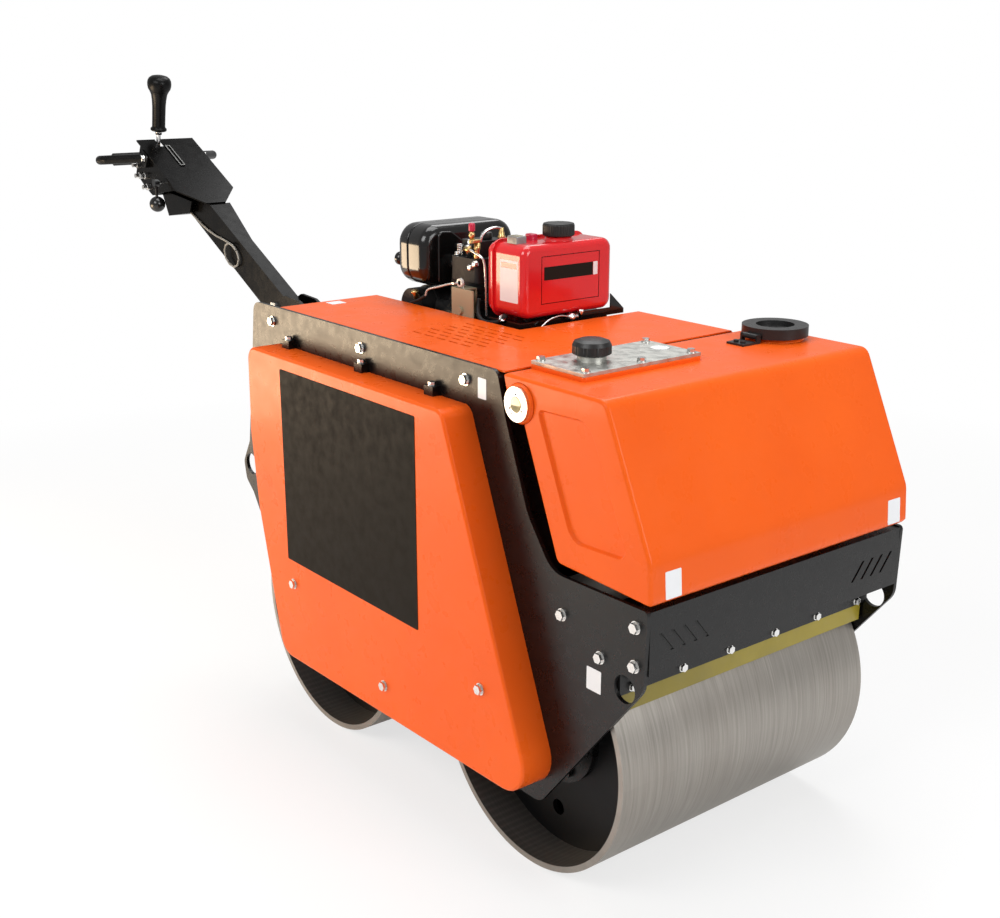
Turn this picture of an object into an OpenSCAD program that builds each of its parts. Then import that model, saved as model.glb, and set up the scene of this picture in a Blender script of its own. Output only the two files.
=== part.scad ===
// Walk behind vibratory roller with two steel drums, a rear belt cover, a front tank,
// a diesel engine and a long folding handle.
// X runs forward, Y to the roller's left hand side seen from the front, Z up.
// Inside the machine frame, heights are measured from the drum axles
// and lengths from the middle of the wheelbase.

/* [Drums] */
// Outside diameter of each drum
drum_d = 517; // [470:1:540]
// Width of each drum
drum_w = 648; // [560:1:760]
// Thickness of the drum shell
drum_t = 12; // [8:1:20]
// Distance between the two drum axles
wheelbase = 700; // [660:1:760]
// How far each web sits inside the drum's end
web_inset = 80; // [70:1:110]
// Thickness of each web
web_t = 10; // [6:1:16]
// Diameter of the stub axles
axle_d = 50; // [40:1:56]

/* [Frame] */
// Distance from the front axle to the nose of the side plates
nose_reach = 311; // [290:1:350]
// Height of the deck above the axles
deck_rise = 681.5; // [660:1:720]
// Thickness of the side plates
plate_t = 8; // [6:1:14]
// Gap between a drum's end and the side plate
drum_side_gap = 4; // [3:0.5:12]
// Corner radius that the plate outline is drawn with
plate_fillet = 30; // [15:1:40]
// Diameter of the tie down holes
tie_hole_d = 50; // [36:1:56]
// Height of the engine bed above the axles
bed_rise = 381; // [370:1:400]
// Thickness of the engine bed and bulkhead plates
bed_t = 10; // [6:1:14]

/* [Covers] */
// Depth of the belt cover outside the side plate
cover_depth = 68; // [62:1:90]
// Sheet thickness of covers, deck and bumpers
sheet_t = 3; // [2:0.5:5]
// Thickness of the black panel on the cover
panel_t = 1; // [0.5:0.5:3]
// Gap between deck and tank
deck_gap = 3; // [1:0.5:6]
// Width of the right hand deck bevel
bevel_w = 78; // [60:1:90]

/* [Tank] */
// Wall of the front tank
tank_wall = 4; // [3:0.5:8]
// Depth of the pressed recess in each tank side
recess_depth = 6; // [3:0.5:12]
// Diameter of the water filler neck
neck_d = 104; // [90:1:110]
// Height of the water filler neck
neck_h = 7; // [5:1:12]
// Diameter of the water cap
cap_d = 128; // [124:1:136]
// Height of the water cap
cap_h = 20; // [18:1:30]
// Height of the raised seat under the aluminium plate
seat_h = 8; // [5:1:14]
// Thickness of the aluminium plate
top_plate_t = 6; // [4:1:10]
// Diameter of the breather cap
breather_d = 70; // [60:1:80]
// Diameter of the sight glass ring
sight_d = 62; // [50:1:66]

/* [Bumper] */
// Height of the bumper face
bumper_h = 113; // [100:1:125]
// How far the bumper face stands in front of the nose
bumper_reach = 3; // [1:0.5:6]
// Width of the scraper's gap to the drum
scraper_gap = 2; // [1:0.5:5]
// Thickness of the scraper blades
blade_t = 6; // [4:1:10]

/* [Engine] */
// Distance of the crankshaft behind the middle of the wheelbase
crank_back = 212; // [206:1:218]
// Height of the crankshaft above the engine mounts
crank_rise = 125.5; // [120:0.5:130]
// Diameter of the crankshaft
crank_d = 28; // [24:1:32]
// Height of the rubber buffers under the engine
buffer_h = 30; // [24:1:34]
// Length of the fuel tank from side to side
fuel_w = 242; // [220:1:250]
// Depth of the fuel tank from front to rear
fuel_l = 135; // [120:1:140]
// Height of the fuel tank
fuel_h = 149; // [130:1:152]
// Diameter of the fuel cap
fuel_cap_d = 66; // [50:1:70]
// Length of the muffler from side to side
muffler_w = 254; // [220:1:270]
// Height of the muffler
muffler_h = 133; // [120:1:150]
// Depth of the muffler from front to rear
muffler_l = 107; // [100:1:120]

/* [Drive] */
// Diameter of the exciter shaft
exciter_d = 40; // [30:1:44]
// Pitch radius of the engine and exciter pulleys
pulley_r = 50; // [40:1:52]
// Pitch radius of the pump pulley
pump_pulley_r = 56; // [46:1:60]
// Pitch radius of the drum sprockets
sprocket_r = 55; // [46:1:58]
// Teeth on a drum sprocket
sprocket_teeth = 28; // [26:1:30]
// Teeth on the motor sprocket
motor_teeth = 15; // [13:1:17]
// Thickness of the drive belts
belt_t = 8; // [6:1:9]

/* [Handle] */
// Slope of the handle arm in degrees
arm_slope = 27.5; // [20:0.5:32]
// Height of the handle arm's box section
arm_h = 88; // [70:1:96]
// Width of the handle arm's box section
arm_w = 40; // [36:1:50]
// Distance of the fold pivot behind the middle of the wheelbase
pivot_back = 1060; // [1030:1:1090]
// How far the fold pivot sits below the deck
pivot_drop = 117; // [107:0.5:127]
// Length of the arm from the pivot to the end of the head
arm_reach = 782; // [740:1:820]
// Width of the control head
head_w = 176; // [160:1:200]
// Width of the loop handle
loop_w = 384; // [350:1:440]
// Diameter of the loop handle's tube
loop_d = 26; // [22:1:30]
// Diameter of the rubber grip
grip_d = 36; // [32:1:42]
// Length of the travel lever's grip
lever_grip_l = 158; // [140:1:180]

/* [Hidden] */
$fn = 48;
hull_fn = 24;
corner_steps = 5;
cut = 1;
fit_gap = 0.3;
shaft_gap = 0.05;
hole_gap = 0.4;

drum_r = drum_d / 2;
axle_x = wheelbase / 2;
nose_x = axle_x + nose_reach;
pivot_rise = deck_rise - pivot_drop;
axle_r = axle_d / 2;
plate_in = drum_w / 2 + drum_side_gap;
plate_out = plate_in + plate_t;
cover_face = plate_out + cover_depth;

// Overall reach, for centring the part over its footprint
tank_front_share = 1.017;
loop_back = 51;
loop_drop = 45;
rear_end_x = -pivot_back - (arm_reach + loop_back) * cos(arm_slope) - loop_drop * sin(arm_slope)
    - grip_d / 2;
middle_x = (tank_front_share * nose_x + rear_end_x) / 2;
middle_y = -cover_depth / 2;

black = [0.06, 0.06, 0.065];
orange = [0.93, 0.33, 0.10];
steel = [0.62, 0.61, 0.60];
zinc = [0.80, 0.78, 0.72];
rubber_black = [0.05, 0.05, 0.05];
fuel_red = [0.80, 0.05, 0.06];
olive = [0.55, 0.50, 0.10];

// Vector, corner and outline helpers
function unit(v) = v / norm(v);
function xz(p) = [p[0], p[1]];
function turned(v, a) = [v.x * cos(a) - v.y * sin(a), v.x * sin(a) + v.y * cos(a)];
function corner_arc(a, b, c, r) =
    let (u = unit(a - b), v = unit(c - b), half = acos(u * v) / 2)
    let (centre = b + unit(u + v) * r / sin(half), start = b + u * r / tan(half) - centre)
    let (turn = (half * 2 - 180) * sign(u.x * v.y - u.y * v.x))
    [for (i = [0 : corner_steps]) centre + turned(start, turn * i / corner_steps)];
function rounded(p) = [
    for (i = [0 : len(p) - 1])
        let (a = p[(i + len(p) - 1) % len(p)], b = p[i], c = p[(i + 1) % len(p)])
        each (b[2] > 0 ? corner_arc(xz(a), xz(b), xz(c), b[2]) : [xz(b)])
];
function sized(shares, sx, sz, sr) = [for (p = shares) [p[0] * sx, p[1] * sz, p[2] * sr]];
function framed(shares) = sized(shares, nose_x, deck_rise, plate_fillet);
function box_outline(x0, x1, z0, z1, r) = [[x0, z0, r], [x1, z0, r], [x1, z1, r], [x0, z1, r]];
function on_frame(share) = [share[0] * nose_x, share[1] * deck_rise];

module machine() translate([-middle_x, -middle_y, drum_r]) children();
module prism_y(y0, y1) translate([0, y1, 0]) rotate([90, 0, 0]) linear_extrude(y1 - y0) children();
module prism_x(x0, x1) translate([x0, 0, 0]) rotate([90, 0, 90]) linear_extrude(x1 - x0) children();
module block(x0, x1, y0, y1, z0, z1) translate([x0, y0, z0]) cube([x1 - x0, y1 - y0, z1 - z0]);
module rod_y(x, z, r, y0, y1) translate([x, y1, z]) rotate([90, 0, 0]) cylinder(r = r, h = y1 - y0);
module rod_x(y, z, r, x0, x1) translate([x0, y, z]) rotate([0, 90, 0]) cylinder(r = r, h = x1 - x0);
module rod_z(x, y, r, z0, z1) translate([x, y, z0]) cylinder(r = r, h = z1 - z0);
module outline(p) polygon(rounded(p));
module both_sides() {
    children();
    mirror([0, 1, 0]) children();
}

// Side plate outline, shares of the nose length, the deck height and the fillet
plate_shares = [
    [-0.909, 1.000, 0.83], [-0.932, 0.848, 2.00], [-0.992, 0.506, 0.33], [-1.041, 0.426, 0.67],
    [-1.029, 0.364, 0.83], [-0.983, 0.326, 0.67], [-0.643, -0.159, 1.17], [0.611, -0.159, 1.17],
    [1.000, 0.314, 1.50], [1.006, 0.522, 0.27], [0.648, 0.517, 2.00], [0.548, 0.646, 4.00],
    [0.454, 0.880, 2.00], [0.418, 1.000, 0.67]
];
cover_shares = [
    [-0.778, 0.886, 1.00], [-0.785, 0.602, 3.33], [-0.753, 0.345, 6.67], [-0.632, -0.126, 1.50],
    [0.699, -0.100, 2.00], [0.303, 0.886, 0.83]
];
tank_shares = [
    [0.439, 1.000, 0.10], [0.457, 0.942, 0.40], [0.522, 0.889, 0.40], [0.667, 0.546, 0.47],
    [tank_front_share, 0.534, 0.17], [1.009, 0.640, 1.33], [0.839, 1.000, 0.73]
];
recess_shares = [
    [0.581, 0.932, 0.27], [0.666, 0.741, 2.00], [0.723, 0.616, 1.33], [0.938, 0.625, 0.47],
    [0.782, 0.939, 1.50]
];
bulkhead_shares = [[0.396, 0.985], [0.430, 0.877], [0.523, 0.643], [0.612, 0.505]];
rear_bolt_shares = [[-0.782, 0.952], [-0.243, 0.952], [0.281, 0.952]];
nose_bolt_shares = [[0.694, 0.416], [0.968, 0.472], [0.843, 0.350], [0.968, 0.371]];
stud_shares = [[-0.534, 0.147], [-0.006, -0.014], [0.474, 0.156]];
clip_shares = [-0.657, -0.224, 0.141];
tie_shares = [[0.933, 0.297], [-0.986, 0.426]];
panel_shares = [[-0.565, 0.226], [0.180, 0.847]];
exciter_z = 0.103 * deck_rise;
motor_z = 0.330 * deck_rise;
pump_x = 0.182 * nose_x;
pump_z = 0.484 * deck_rise;
crank_x = -crank_back;
mount_z = bed_rise + buffer_h;
crank_z = mount_z + crank_rise;

// Bolts with a flange, a hexagon head and a shank
bolt_r = 6;
bolt_head_h = 9;
bolt_flange_r = 11.5;
bolt_flange_h = 2;
bolt_hex_r = 9.5;
nut_h = 9;
small_bolt_r = 4;
small_hex_r = 7.5;
small_hex_h = 5.5;
small_flange_r = 8.5;
small_flange_h = 1.6;
module bolt_y(x, z, face, reach, nut = true) {
    rod_y(x, z, bolt_flange_r, face - bolt_flange_h, face);
    translate([x, face - bolt_flange_h, z]) rotate([90, 0, 0])
        cylinder(r = bolt_hex_r, h = bolt_head_h - bolt_flange_h, $fn = 6);
    rod_y(x, z, bolt_r, face, face + reach + (nut ? nut_h : 0));
    if (nut) translate([x, face + reach + nut_h, z]) rotate([90, 0, 0])
        cylinder(r = bolt_hex_r, h = nut_h, $fn = 6);
}
module small_bolt(x, y, z, reach) {
    rod_z(x, y, small_flange_r, z, z + small_flange_h);
    translate([x, y, z + small_flange_h]) cylinder(r = small_hex_r, h = small_hex_h, $fn = 6);
    rod_z(x, y, small_bolt_r, z - reach, z);
}
module hole_y(p, r) rod_y(p[0], p[1], r, -plate_out - cut, -plate_in + cut);

// Side plates: one on each side, joined by the beams
hole_clear = 5;
axle_hole_r = axle_r + hole_clear;
exciter_hole_r = exciter_d / 2 + hole_clear;
shaft_hole_r = crank_d / 2 + hole_clear;
drive_shaft_d = 20;
drive_hole_r = drive_shaft_d / 2 + hole_clear;
chain_link_t = 2.5;
chain_half_w = 6;
chain_half_h = 6;
chain_offset = 12;
chain_y = -plate_out - chain_offset;
guide_x = 60;
guide_l = 120;
guide_t = -chain_y - chain_half_w - chain_link_t / 2 - plate_out;
clip_w = 28;
clip_h = 18;
clip_reach = 18;
module plate_body() {
    difference() {
        prism_y(-plate_out, -plate_in) outline(framed(plate_shares));
        for (p = concat(rear_bolt_shares, nose_bolt_shares)) hole_y(on_frame(p), bolt_r + hole_gap);
        for (p = tie_shares) hole_y(on_frame(p), tie_hole_d / 2);
        for (s = [-1, 1]) hole_y([s * axle_x, 0], axle_hole_r);
        hole_y([0, exciter_z], exciter_hole_r);
        children();
    }
}
module side_plate_left() color(black) machine() {
    plate_body() {
        hole_y([0, motor_z], drive_hole_r);
        hole_y([pump_x, pump_z], drive_hole_r);
        hole_y([crank_x, crank_z], shaft_hole_r);
    }
    // Guide strip that the chain's lower run slides on
    block(guide_x, guide_x + guide_l, -plate_out - guide_t, -plate_out,
        -sprocket_r - chain_half_h, -sprocket_r + chain_half_h);
    // Lugs that hold the cover's top edge down
    for (s = clip_shares) difference() {
        block(s * nose_x - clip_w / 2, s * nose_x + clip_w / 2, -plate_out - clip_reach, -plate_out,
            cover_top_z, cover_top_z + clip_h);
        rod_z(s * nose_x, cover_clip_y, small_bolt_r + hole_gap, cover_top_z - cut,
            cover_top_z + clip_h + cut);
    }
}
cover_top_z = cover_shares[0][1] * deck_rise;
right_top_z = deck_rise - bevel_w - 2 * sheet_t;
module side_plate_right() color(black) machine() mirror([0, 1, 0]) plate_body() {
    // The right hand plate ends below the deck's bevel
    block(-2 * nose_x, nose_x, -plate_out - cut, -plate_in + cut, right_top_z, deck_rise + cut);
}

// Beams welded between the plates, the engine bed and the sloping front bulkhead
beam_w = 60;
beam_wall = 5;
front_beam_x = 0.85 * nose_x;
front_beam_z = 0.42 * deck_rise;
rear_beam_z = 0.475 * deck_rise;
rear_beam_h = 190;
rear_beam_x = -0.84 * nose_x;
bed_front = 0.12 * nose_x;
bed_rear = -0.70 * nose_x;
buffer_r = 20;
buffer_dx = 75;
buffer_y = [-140, 25];
post_y = 230;
post_w = 40;
carrier_t = 6;
carrier_low = 0.264 * deck_rise;
carrier_x = front_beam_x + beam_w / 2 + carrier_t;
bolt_low = 0.279 * deck_rise;
function tank_floor(x) = let (a = on_frame(tank_shares[3]), b = on_frame(tank_shares[4]))
    a[1] + (b[1] - a[1]) * (x - a[0]) / (b[0] - a[0]);
module tube_beam(x, z, h) difference() {
    block(x - beam_w / 2, x + beam_w / 2, -plate_in, plate_in, z - h / 2, z + h / 2);
    block(x - beam_w / 2 + beam_wall, x + beam_w / 2 - beam_wall, -plate_in - cut, plate_in + cut,
        z - h / 2 + beam_wall, z + h / 2 - beam_wall);
}
module chassis_beams() color(black) machine() {
    tube_beam(front_beam_x, front_beam_z, beam_w);
    tube_beam(rear_beam_x, rear_beam_z, rear_beam_h);
    difference() {
        block(bed_rear, bed_front, -plate_in, plate_in, bed_rise - bed_t, bed_rise);
        for (s = [-1, 1], y = buffer_y)
            rod_z(crank_x + s * buffer_dx, y, bolt_r + hole_gap, bed_rise - bed_t - cut, bed_rise + cut);
    }
    // Carrier of the front scraper on the beam's face
    difference() {
        block(carrier_x - carrier_t, carrier_x, -plate_in, plate_in, carrier_low,
            front_beam_z + beam_w / 2);
        for (y = scraper_bolt_shares) rod_x(y * plate_in, bolt_low, small_bolt_r + hole_gap,
            carrier_x - carrier_t - cut, carrier_x + cut);
    }
    // Posts that carry the tank on the front beam
    for (s = [-1, 1]) prism_y(s * post_y - post_w / 2, s * post_y + post_w / 2) polygon([
        [front_beam_x - post_w / 2, front_beam_z + beam_w / 2],
        [front_beam_x + post_w / 2, front_beam_z + beam_w / 2],
        [front_beam_x + post_w / 2, tank_floor(front_beam_x + post_w / 2)],
        [front_beam_x - post_w / 2, tank_floor(front_beam_x - post_w / 2)]
    ]);
    b = [for (p = bulkhead_shares) on_frame(p)];
    back = [2 * sheet_t, 0];
    difference() {
        prism_y(-plate_in, plate_in)
            polygon([b[0], b[1], b[2], b[3], b[3] - back, b[2] - back, b[1] - back, b[0] - back]);
        // Room for the deck's bevel
        prism_x(0, nose_x) polygon([
            [bay_right - 2 * sheet_t, deck_rise], [plate_in + cut, deck_rise],
            [plate_in + cut, right_top_z - deck_flange],
            [plate_in - 2 * sheet_t, right_top_z - deck_flange],
            [plate_in - 2 * sheet_t, right_top_z], [bay_right - 2 * sheet_t, deck_rise - sheet_t]
        ]);
    }
}

// Front bumper: a folded sheet between the plates, with slanted slots
bumper_top = 0.518 * deck_rise;
bumper_face = nose_x + bumper_reach;
bumper_flange = 30;
slot_w = 7;
slot_rise = 36;
slot_lean = 30;
slot_pitch = 27.7;
slot_count = 4;
slot_share = 0.575;
wing_l = 58;
module bumper_slots(face) for (side = [-1, 1], i = [0 : slot_count - 1]) {
    y = slot_share * plate_in + i * slot_pitch;
    z = bumper_top - (bumper_h + slot_rise + slot_w) / 2;
    prism_x(face - sheet_t - cut, face + cut) polygon([
        [side * y, z], [side * (y + slot_w), z],
        [side * (y + slot_w + slot_lean), z + slot_rise], [side * (y + slot_lean), z + slot_rise]
    ]);
}
module front_bumper() color(black) machine() {
    half = plate_in - fit_gap;
    z0 = bumper_top - bumper_h;
    difference() {
        block(bumper_face - sheet_t, bumper_face, -half, half, z0, bumper_top);
        bumper_slots(bumper_face);
    }
    for (z = [z0, bumper_top - sheet_t]) block(bumper_face - (z > z0 ? bumper_flange : slot_w),
        bumper_face, -half, half, z, z + sheet_t);
    both_sides() difference() {
        block(bumper_face - wing_l, bumper_face, -half, -half + sheet_t, z0, bumper_top);
        for (i = [1, 3]) rod_y(nose_bolt_shares[i][0] * nose_x, nose_bolt_shares[i][1] * deck_rise,
            bolt_r + hole_gap, -plate_in - cut, -plate_in + 2 * sheet_t);
    }
}
scraper_bolt_shares = [-0.914, -0.548, -0.183, 0.183, 0.548, 0.914];

// Rear panel: a flat sheet on the rear beam, cut out round the handle bracket's foot
rear_face = -rear_beam_x + beam_w / 2;
foot_half = 50;
foot_low_share = 0.47;
foot_high_share = 0.80;
module rear_panel() color(black) machine() mirror([1, 0, 0]) difference() {
    block(rear_face, rear_face + sheet_t, -plate_in + fit_gap, plate_in - fit_gap, carrier_low,
        rear_beam_z + rear_beam_h / 2);
    block(rear_face - cut, rear_face + 2 * sheet_t, -foot_half - fit_gap, foot_half + fit_gap,
        foot_low_share * pivot_rise - fit_gap, deck_rise);
    for (y = scraper_bolt_shares) rod_x(y * plate_in, bolt_low, small_bolt_r + hole_gap,
        rear_face - cut, rear_face + sheet_t + cut);
}

// Scraper blades: bolted behind the front carrier and on the rear panel, turned in to the drums
blade_end = 6;
blade_half = plate_in - blade_end;
blade_low = 0.21 * deck_rise;
blade_high = 0.292 * deck_rise;
scraper_angle = 31.5;
front_blade_x = carrier_x - carrier_t;
rear_blade_x = rear_face + sheet_t + blade_t;
module blade(x) {
    tip = [axle_x, 0] + (drum_r + scraper_gap) * [cos(scraper_angle), sin(scraper_angle)];
    difference() {
        prism_y(-blade_half, blade_half) polygon([
            [x, blade_high], [x, blade_low], tip, tip + [0, blade_t], [x - blade_t, blade_low + blade_t],
            [x - blade_t, blade_high]
        ]);
        for (y = scraper_bolt_shares)
            rod_x(y * plate_in, bolt_low, small_bolt_r + hole_gap, x - blade_t - cut, x + cut);
    }
}
module scrapers() color(olive) machine() {
    blade(front_blade_x);
    mirror([1, 0, 0]) blade(rear_blade_x);
}

// Belt cover: a deep pan, open towards the side plate
stud_r = 6;
cover_clip_y = -plate_out - clip_reach / 2;
module belt_cover() color(orange) machine() difference() {
    prism_y(-cover_face, -plate_out - fit_gap) outline(framed(cover_shares));
    prism_y(-cover_face + sheet_t, -plate_out + cut) offset_pan();
    for (p = stud_shares) rod_y(on_frame(p)[0], on_frame(p)[1], stud_r + hole_gap,
        -cover_face - cut, -cover_face + sheet_t + cut);
    for (s = clip_shares) rod_z(s * nose_x, cover_clip_y, small_bolt_r + hole_gap,
        cover_top_z - sheet_t - cut, cover_top_z + cut);
}
// The pan's inside: the outline drawn in by one sheet on every side
pan_share = 2.5;
module offset_pan() {
    p = framed(cover_shares);
    mid = (on_frame(cover_shares[1]) + on_frame(cover_shares[4])) / 2;
    wide = cover_shares[4][0] * nose_x - cover_shares[1][0] * nose_x;
    high = (cover_shares[0][1] - cover_shares[3][1]) * deck_rise;
    mid_z = (cover_shares[0][1] + cover_shares[3][1]) / 2 * deck_rise;
    outline([for (q = p) [
        mid[0] + (q[0] - mid[0]) * (1 - pan_share * sheet_t / wide),
        mid_z + (q[1] - mid_z) * (1 - 2 * sheet_t / high),
        max(q[2] - sheet_t, sheet_t)
    ]]);
}
module cover_panel() color(black) machine() {
    a = on_frame(panel_shares[0]);
    b = on_frame(panel_shares[1]);
    prism_y(-cover_face - panel_t, -cover_face) outline(box_outline(a[0], b[0], a[1], b[1], sheet_t));
}

// Bolts of the frame, the cover, the scrapers and the tank's top plate
module frame_bolts() color(zinc) machine() {
    for (p = rear_bolt_shares) bolt_y(on_frame(p)[0], on_frame(p)[1], -plate_out, plate_t);
    for (i = [0 : 3]) {
        p = on_frame(nose_bolt_shares[i]);
        reach = plate_t + (i % 2 == 1 ? sheet_t + fit_gap : 0);
        both_sides() bolt_y(p[0], p[1], -plate_out, reach);
    }
    for (p = stud_shares)
        bolt_y(on_frame(p)[0], on_frame(p)[1], -cover_face, cover_depth, false);
    for (s = clip_shares) small_bolt(s * nose_x, cover_clip_y, cover_top_z + clip_h, clip_h + sheet_t);
    for (y = scraper_bolt_shares) {
        scraper_bolt(carrier_x, y * plate_in);
        mirror([1, 0, 0]) scraper_bolt(rear_blade_x, y * plate_in);
    }
    for (p = top_bolt_shares) small_bolt(plate_x0 + p[0] * plate_l, plate_y0 + p[1] * plate_w,
        deck_rise + seat_h + top_plate_t, top_plate_t);
}
module scraper_bolt(x, y) translate([x, y, bolt_low]) rotate([0, 90, 0])
    small_bolt(0, 0, 0, carrier_t + blade_t);

// Deck: a flat sheet round the open engine bay, bent down along the right hand side
deck_rear = -0.752 * nose_x;
bay_front = 0.033 * nose_x;
bay_left = -77;
bay_right = 250;
vent_rows = 7;
vent_cols = 5;
vent_l = 30;
vent_w = 5;
vent_pitch_x = 40;
vent_pitch_y = 22;
vent_x = -100;
vent_y = -255;
deck_flange = 22;
tank_rear = tank_shares[0][0] * nose_x;
module deck_cover() color(orange) machine() {
    front = tank_rear - deck_gap;
    difference() {
        union() {
            block(deck_rear, front, -plate_in + fit_gap, bay_right, deck_rise - sheet_t, deck_rise);
            prism_x(bay_front, front) polygon([
                [bay_right - sheet_t, deck_rise], [bay_right, deck_rise],
                [plate_in - fit_gap, deck_rise - bevel_w],
                [plate_in - fit_gap, deck_rise - bevel_w - deck_flange],
                [plate_in - fit_gap - sheet_t, deck_rise - bevel_w - deck_flange],
                [plate_in - fit_gap - sheet_t, deck_rise - bevel_w - sheet_t / 2],
                [bay_right - sheet_t, deck_rise - sheet_t]
            ]);
            // Turned down edge round the bay
            block(deck_rear, bay_front, bay_left - sheet_t, bay_left,
                deck_rise - deck_flange, deck_rise);
            block(bay_front, bay_front + sheet_t, bay_left - sheet_t, bay_right,
                deck_rise - deck_flange, deck_rise);
            block(deck_rear, deck_rear + sheet_t, -plate_in + fit_gap, bay_left,
                deck_rise - deck_flange, deck_rise);
            // Flange that the plate bolts pass through
            block(deck_rear, front - beam_w, -plate_in + fit_gap, -plate_in + fit_gap + sheet_t,
                deck_rise - 2 * deck_flange, deck_rise);
        }
        block(deck_rear - cut, bay_front, bay_left, bay_right + cut, deck_rise - beam_w, deck_rise + cut);
        for (i = [0 : vent_cols - 1], j = [0 : vent_rows - 1])
            translate([vent_x + i * vent_pitch_x + (j % 2) * vent_pitch_x / 2,
                vent_y + j * vent_pitch_y, deck_rise - sheet_t - cut])
                cube([vent_l, vent_w, sheet_t + 2 * cut]);
        for (p = rear_bolt_shares) rod_y(on_frame(p)[0], on_frame(p)[1], bolt_hex_r + hole_gap,
            -plate_in - cut, -plate_in + 2 * sheet_t);
    }
}

// Front tank: one shell across the machine, oil on the left and water on the right
tank_side = plate_out;
divider_y = 110;
cap_in = 98;
cap_x = tank_rear + cap_in;
cap_y = 262;
plate_x0 = tank_rear + seat_h;
plate_y0 = -277;
plate_l = 139;
plate_w = 282;
seat_wall = 14;
top_bolt_shares = [[0.07, 0.05], [0.92, 0.05], [0.90, 0.52], [0.08, 0.52], [0.92, 0.95], [0.08, 0.95]];
boss_r = 34;
boss_h = 6;
sight_x = 0.517 * nose_x;
sight_z = 0.932 * deck_rise;
lens_r = 12;
breather_in = 64;
breather_x = plate_x0 + breather_in;
breather_y = -192;
breather_hole_r = 20;
module tank_inside(y0, y1) prism_y(y0, y1) {
    p = framed(tank_shares);
    c = (xz(p[3]) + xz(p[6])) / 2;
    k = 1 - 3 * tank_wall / norm(xz(p[4]) - xz(p[3]));
    outline([for (q = p) [c[0] + (q[0] - c[0]) * k, c[1] + (q[1] - c[1]) * k, q[2] * k]]);
}
module front_tank() color(orange) machine() difference() {
    union() {
        prism_y(-tank_side, tank_side) outline(framed(tank_shares));
        block(plate_x0, plate_x0 + plate_l, plate_y0, plate_y0 + plate_w, deck_rise - tank_wall,
            deck_rise + seat_h);
        rod_z(cap_x, cap_y, neck_d / 2, deck_rise - tank_wall, deck_rise + neck_h);
        rod_y(sight_x, sight_z, boss_r, -tank_side - boss_h, -tank_side);
    }
    tank_inside(-tank_side + tank_wall + recess_depth, divider_y - tank_wall);
    tank_inside(divider_y, tank_side - tank_wall - recess_depth);
    both_sides() prism_y(-tank_side - cut, -tank_side + recess_depth) outline(framed(recess_shares));
    rod_z(cap_x, cap_y, neck_d / 2 - tank_wall, deck_rise - 2 * neck_d, deck_rise + neck_h + cut);
    block(plate_x0 + seat_wall, plate_x0 + plate_l - seat_wall, plate_y0 + seat_wall,
        plate_y0 + plate_w - seat_wall, deck_rise - neck_d / 2, deck_rise + seat_h + cut);
    rod_y(sight_x, sight_z, lens_r, -tank_side - boss_h - cut, -tank_side + 3 * tank_wall);
}
module tank_top_plate() color(zinc) machine() {
    z0 = deck_rise + seat_h;
    difference() {
        block(plate_x0, plate_x0 + plate_l, plate_y0, plate_y0 + plate_w, z0, z0 + top_plate_t);
        for (p = top_bolt_shares) rod_z(plate_x0 + p[0] * plate_l, plate_y0 + p[1] * plate_w,
            small_bolt_r + hole_gap, z0 - cut, z0 + top_plate_t + cut);
        rod_z(breather_x, breather_y, breather_hole_r, z0 - cut, z0 + top_plate_t + cut);
    }
    // Collar that the breather cap turns on
    difference() {
        rod_z(breather_x, breather_y, collar_r, z0 + top_plate_t, z0 + top_plate_t + collar_h);
        rod_z(breather_x, breather_y, breather_hole_r, z0, z0 + top_plate_t + collar_h + cut);
    }
}
collar_r = 0.37 * breather_d;
collar_h = 9;
breather_h = 30;
module breather_cap() color(rubber_black) machine() {
    z = deck_rise + seat_h + top_plate_t + collar_h + fit_gap;
    dome_shares = [[0.80, 0.00], [1.00, 0.12], [1.00, 0.60], [0.90, 0.84], [0.60, 0.97]];
    r = breather_d / 2;
    translate([breather_x, breather_y, z]) difference() {
        rotate_extrude() polygon(concat([[0, 0]],
            [for (p = dome_shares) [p[0] * r, p[1] * breather_h]], [[0, breather_h]]));
        // Finger scallops round the cap
        for (a = [0 : 30 : 330]) rotate([0, 0, a]) translate([r + small_bolt_r, 0, 0])
            cylinder(r = small_bolt_r + cut, h = breather_h * dome_shares[2][1], $fn = hull_fn);
    }
    rod_z(breather_x, breather_y, breather_hole_r - fit_gap, z - collar_h, z);
}
ring_h = 5;
module sight_glass_ring() color(zinc) machine() difference() {
    rod_y(sight_x, sight_z, sight_d / 2, -tank_side - boss_h - ring_h, -tank_side - boss_h);
    rod_y(sight_x, sight_z, lens_r, -tank_side - boss_h - ring_h - cut, -tank_side - boss_h + cut);
    for (s = [-1, 1]) rod_y(sight_x + s * sight_d / 3 * cos(60), sight_z + s * sight_d / 3 * sin(60),
        bolt_flange_h, -tank_side - boss_h - ring_h - cut, -tank_side - boss_h - ring_h / 2);
}
module sight_glass_lens() color([0.75, 0.70, 0.45]) machine()
    rod_y(sight_x, sight_z, lens_r, -tank_side - boss_h - ring_h / 2, -tank_side + tank_wall);

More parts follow.
